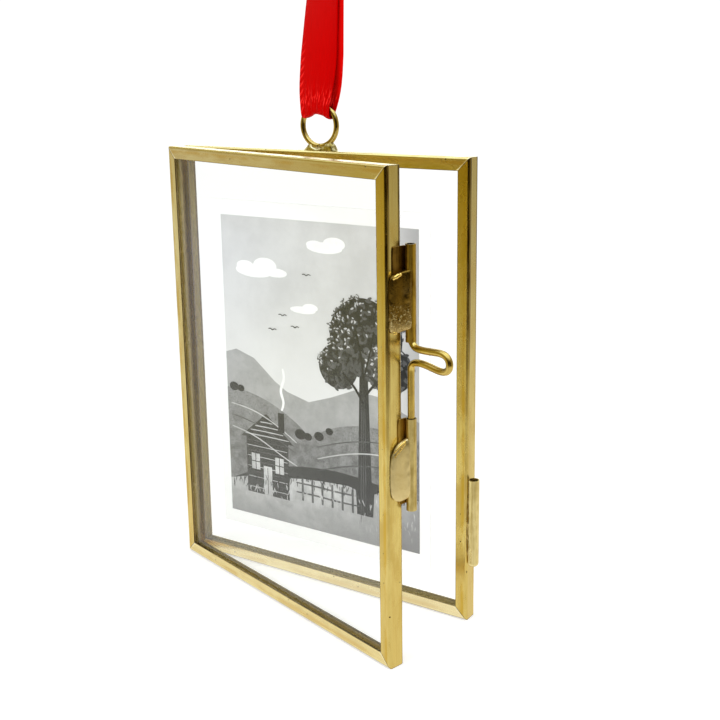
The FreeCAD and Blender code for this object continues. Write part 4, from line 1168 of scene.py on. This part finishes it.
def landscape_marks():
    """The generic country scene: far hills and clouds behind, then a cottage, a winding path, a
    fence, bushes, grass and a leafy tree, each a field of grey."""
    draw = np.random.default_rng(5)

    far = np.array([
        (-25, 33), (-25, 46), (-20, 48.5), (-14, 47), (-8, 43.5), (-2, 42), (4, 44),
        (10, 46.5), (16, 46), (21, 43), (25, 41.5), (25, 33),
    ])[None]
    ridge = np.array([
        (-25, 30), (-25, 50.5), (-22, 51.5), (-17, 50), (-12, 46), (-6, 41), (0, 38), (6, 34),
    ])[None]
    puffs = np.array([
        (-16, 70, 5.2, 1.5), (-13, 71.3, 3.2, 1.8), (-18.5, 70.9, 2.4, 1.2), (-10, 70, 3.0, 1.0),
        (3, 76.5, 4.6, 1.2), (5.5, 77.5, 2.8, 1.4), (0.5, 77, 2.2, 0.9),
        (-3, 62.5, 3.4, 0.8), (-1, 63.2, 2.0, 0.9), (20, 73, 3.2, 0.9), (18, 73.7, 1.8, 0.8),
    ])
    clouds = leaves(puffs[:, :2], puffs[:, 2], puffs[:, 3], 0 * puffs[:, 0], 28)

    # Leaves thicken each crown of the tree and roughen its edge; light ones lie to the upper left.
    crowns = np.array([(12.5, 58.3, 8.6), (6.0, 51.3, 5.1), (18.5, 52.0, 5.1)])
    pick = draw.choice(3, 460, p=(0.56, 0.22, 0.22))
    turn, reach = draw.uniform(0, 2 * np.pi, 460), np.sqrt(draw.uniform(0, 1.12, 460))
    spot = crowns[pick, :2] + (reach * crowns[pick, 2])[:, None] * np.stack(
        [np.cos(turn), np.sin(turn)], -1
    )
    lit = (np.cos(turn - 2.3) * reach + draw.normal(0, 0.35, 460)) > 0.42
    size = draw.uniform(0.4, 0.8, 460)
    foliage = leaves(spot, size, size * 0.5, draw.uniform(0, np.pi, 460))
    light = size[lit]
    turns = draw.uniform(0, np.pi, lit.sum())
    shine = leaves(spot[lit] + (-0.15, 0.2), light * 0.55, light * 0.26, turns)
    grass_x = draw.uniform(-24.5, 24.5, 230)
    bank = 20 + (grass_x + 25) / 50 * 4.2 + 2.1 * (1 - (grass_x / 25) ** 2)
    drop = draw.uniform(0, 1, 230) ** 1.6 * (bank - PRINT_FOOT - 1.4)
    grass = leaves(
        np.stack([grass_x, bank - drop], -1),
        draw.uniform(0.45, 0.95, 230),
        np.full(230, 0.1),
        np.pi / 2 + draw.normal(0, 0.3, 230),
        6,
    )
    shade = drop > 2.0
    bushes = np.array([
        (-4.5, 34.2, 1.5), (-2.4, 34.0, 1.1), (0.6, 34.6, 1.3), (22.5, 38.2, 1.5),
        (20.3, 38.8, 1.1), (-23, 42.6, 1.3), (-21, 42.4, 1.0), (3.4, 36.2, 1.0),
    ])
    tufts = leaves(bushes[:, :2], bushes[:, 2], bushes[:, 2] * 0.8, 0 * bushes[:, 0], 16)
    fields = [
        stroke(
            [(-24, 40 - k), (-17, 39.5 - 1.1 * k), (-10, 36.5 - 1.2 * k), (-5.6, 33.5 - k)], 0.28,
        )
        for k in (1.5, 4.2, 7.0)
    ] + [
        stroke([(0, 32.5 - k), (7, 35.0 - k), (15, 36.6 - k), (24.5, 36.2 - k)], 0.28)
        for k in (0.5, 3.2, 6.0)
    ]
    # The meadow hides the dark bank, but for the feet of the cottage and the tree.
    meadow = np.array([
        (-24.98, 12.32), (24.98, 12.32), (24.98, 24.2), (21, 24.6), (16.4, 24.8), (14.9, 24.0),
        (14.5, 18.6), (10.4, 18.6), (10.1, 24.2), (8, 24.6), (2, 24.3), (-4, 23.8), (-7.9, 23.2),
        (-8.0, 17.8), (-20.0, 17.8), (-20.0, 21.4), (-22, 20.9), (-24.98, 20.1),
    ])[None]
    path = np.array([
        (-15.2, 17.9), (-12.8, 17.9), (-10.8, 16.6), (-6.5, 15.6), (-2.0, 14.6), (2.5, 13.4),
        (4.5, 12.5), (-4.5, 12.5), (-7.0, 13.6), (-10.5, 14.8), (-14.0, 16.2),
    ])[None]
    posts = np.vstack([box(x, 18.6, x + 0.55, 24.0) for x in np.arange(-4.5, 10, 2.7)])
    rails = [
        stroke([(-6, z), (0, z + 0.15), (5, z - 0.1), (11, z + 0.1)], 0.42) for z in (20.4, 22.6)
    ]
    shingles = [
        stroke([(-20.2 + 1.35 * k, 31.9 + k), (-14, 32.0 + k), (-7.8 - 1.35 * k, 31.9 + k)], 0.22)
        for k in (0.0, 1.1, 2.2, 3.3)
    ]
    boards = [stroke([(-19.7, z), (-14, z), (-8.3, z)], 0.16) for z in np.arange(19.2, 30.6, 1.25)]
    windows = np.vstack([box(-18.6, 23.6, -16.2, 27.4), box(-11.8, 23.6, -9.4, 27.4)])
    door = box(-15.2, 17.95, -12.8, 24.8)
    chimney = box(-10.6, 33.6, -8.9, 38.2)
    bars = np.vstack([
        box(-17.5, 23.6, -17.3, 27.4), box(-18.6, 25.4, -16.2, 25.6),
        box(-10.7, 23.6, -10.5, 27.4), box(-11.8, 25.4, -9.4, 25.6),
        box(-14.1, 18.2, -13.95, 24.5), box(-19.0, 23.2, -15.8, 23.5), box(-12.2, 23.2, -9.0, 23.5),
    ])
    bark = [
        stroke([(12.1 + d, 19 + 3 * d), (12.3 + d, 30), (12.4 + 0.6 * d, 48 - 4 * abs(d))], 0.17)
        for d in (-0.7, -0.1, 0.5)
    ]
    limbs = [
        stroke([(12.3, 44), (10.2, 47.5), (7.2, 50.0)], 0.55),
        stroke([(12.8, 45.5), (15.0, 48.5), (17.6, 50.5)], 0.55),
        stroke([(12.5, 49), (12.2, 54), (10.8, 59)], 0.5),
        stroke([(12.7, 50), (14.2, 55), (15.2, 60)], 0.42),
    ]
    smoke = stroke([(-9.6, 38.8), (-8.6, 41), (-10.2, 43.4), (-8.4, 46), (-9.0, 48.6)], 0.7)
    wings = np.array([(-1.1, 0.35), (-0.45, 0.55), (0, 0), (0.5, 0.6), (1.15, 0.3)])
    birds = [
        stroke(wings + spot, 0.2)
        for spot in ((-8.5, 60.5), (-5.2, 58.2), (-11.4, 57.0), (-1.8, 70.0))
    ]
    return {
        "print_far_hills": (-1.624, [far, ridge]),
        "print_clouds": (-1.63, [clouds, smoke]),
        "print_meadow": (-1.6735, [meadow]),
        "print_pale_marks": (
            INK_FRONT - 0.014,
            [path, windows, door, *shingles, *boards[::2], shine, grass[shade], *fields[::2]],
        ),
        "print_grey_marks": (
            INK_FRONT,
            [foliage, *rails, posts, *boards[1::2], *bark, *fields[1::2]],
        ),
        "print_black_marks": (
            INK_FRONT - 0.028,
            [grass[~shade], tufts, chimney, bars, *limbs, *birds],
        ),
    }


class PICTUREFRAME_OT_card(bpy.types.Operator):
    """Prints the generic landscape on its white card"""

    bl_idname = "pictureframe.card"
    bl_label = "Card and print"

    def execute(self, context):
        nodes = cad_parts
        dress(nodes["photo_card"], paper("white board", "#FAFAFA", "#FFFFFF", 12))
        # The print darkens towards the right and towards the foot.
        to_right = (0, 16, 26, 0.6, "#8C8C8C")
        to_foot = (2, 22, 12, 0.7, "#7E7E7E")
        pale = paper(
            "print, pale ink", "#C6C6C6", "#D6D6D6", 16,
            drifts=[(2, 72, 40, 0.75, "#EAEAEA"), to_right],
        )
        mid = paper(
            "print, mid ink", "#5C5C5C", "#8A8A8A", 2.2, "#484848",
            drifts=[(2, 28, 44, 0.6, "#9C9C9C")],
        )
        dark = paper("print, dark ink", "#141414", "#2C2C2C", 1.5, "#3A3A3A")
        for name, ink in zip(
            ("photo_print", "print_mid_tones", "print_dark_tones"), (pale, mid, dark),
        ):
            dress(nodes[name], ink)
        inks = {
            "print_far_hills": ("print_light", "#9A9A9A", "#AEAEAE", [to_right]),
            "print_meadow": (
                "print_mid", "#A6A6A6", "#CACACA",
                [(0, 0, 26, 0.65, "#8A8A8A"), to_foot],
            ),
            "print_clouds": ("print_light", "#F2F2F2", "#FAFAFA", []),
            "print_pale_marks": ("print_light", "#B0B0B0", "#D6D6D6", [to_foot]),
            "print_grey_marks": ("print_mid", "#3A3A3A", "#606060", []),
            "print_black_marks": ("print_dark", "#0C0C0C", "#1E1E1E", []),
        }
        shapes = landscape_marks()
        for name, (slot, low, high, drifts) in inks.items():
            front, groups = shapes[name]
            piece = inked(name, groups, front)
            title = name.replace("_", " ") + " ink"
            dress(piece, paper(title, low, high, 4, drifts=drifts))
            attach(piece, "back_frame")
        return {"FINISHED"}


class PICTUREFRAME_PT_panel(bpy.types.Panel):
    """Lists the pieces of the picture frame"""

    bl_idname = "PICTUREFRAME_PT_panel"
    bl_label = "Picture frame"
    bl_space_type = "VIEW_3D"
    bl_region_type = "UI"
    bl_category = "Picture frame"

    def draw(self, context):
        for group in (sizes(), colours()):
            column = self.layout.box()
            for name in group.__annotations__:
                column.prop(group, name)
        for operator in OPERATORS:
            self.layout.operator(operator.bl_idname)


OPERATORS = (
    PICTUREFRAME_OT_stage,
    PICTUREFRAME_OT_ribbon,
    PICTUREFRAME_OT_channels,
    PICTUREFRAME_OT_panes,
    PICTUREFRAME_OT_hinge,
    PICTUREFRAME_OT_solder,
    PICTUREFRAME_OT_bolt,
    PICTUREFRAME_OT_ring,
    PICTUREFRAME_OT_card,
)
CLASSES = (PictureFrameSizes, PictureFrameColours, *OPERATORS, PICTUREFRAME_PT_panel)


def register():
    """Registers the classes and keeps the two groups on the scene."""
    for each in CLASSES:
        bpy.utils.register_class(each)
    bpy.types.Scene.picture_frame_sizes = PointerProperty(type=PictureFrameSizes)
    bpy.types.Scene.picture_frame_colours = PointerProperty(type=PictureFrameColours)


def unregister():
    """Takes back what register adds."""
    del bpy.types.Scene.picture_frame_colours
    del bpy.types.Scene.picture_frame_sizes
    for each in reversed(CLASSES):
        bpy.utils.unregister_class(each)


def main():
    """Makes every piece in order."""
    register()
    for operator in OPERATORS:
        group, name = operator.bl_idname.split(".")
        getattr(getattr(bpy.ops, group), name)()
    bpy.context.view_layer.update()


if __name__ == "__main__":
    main()
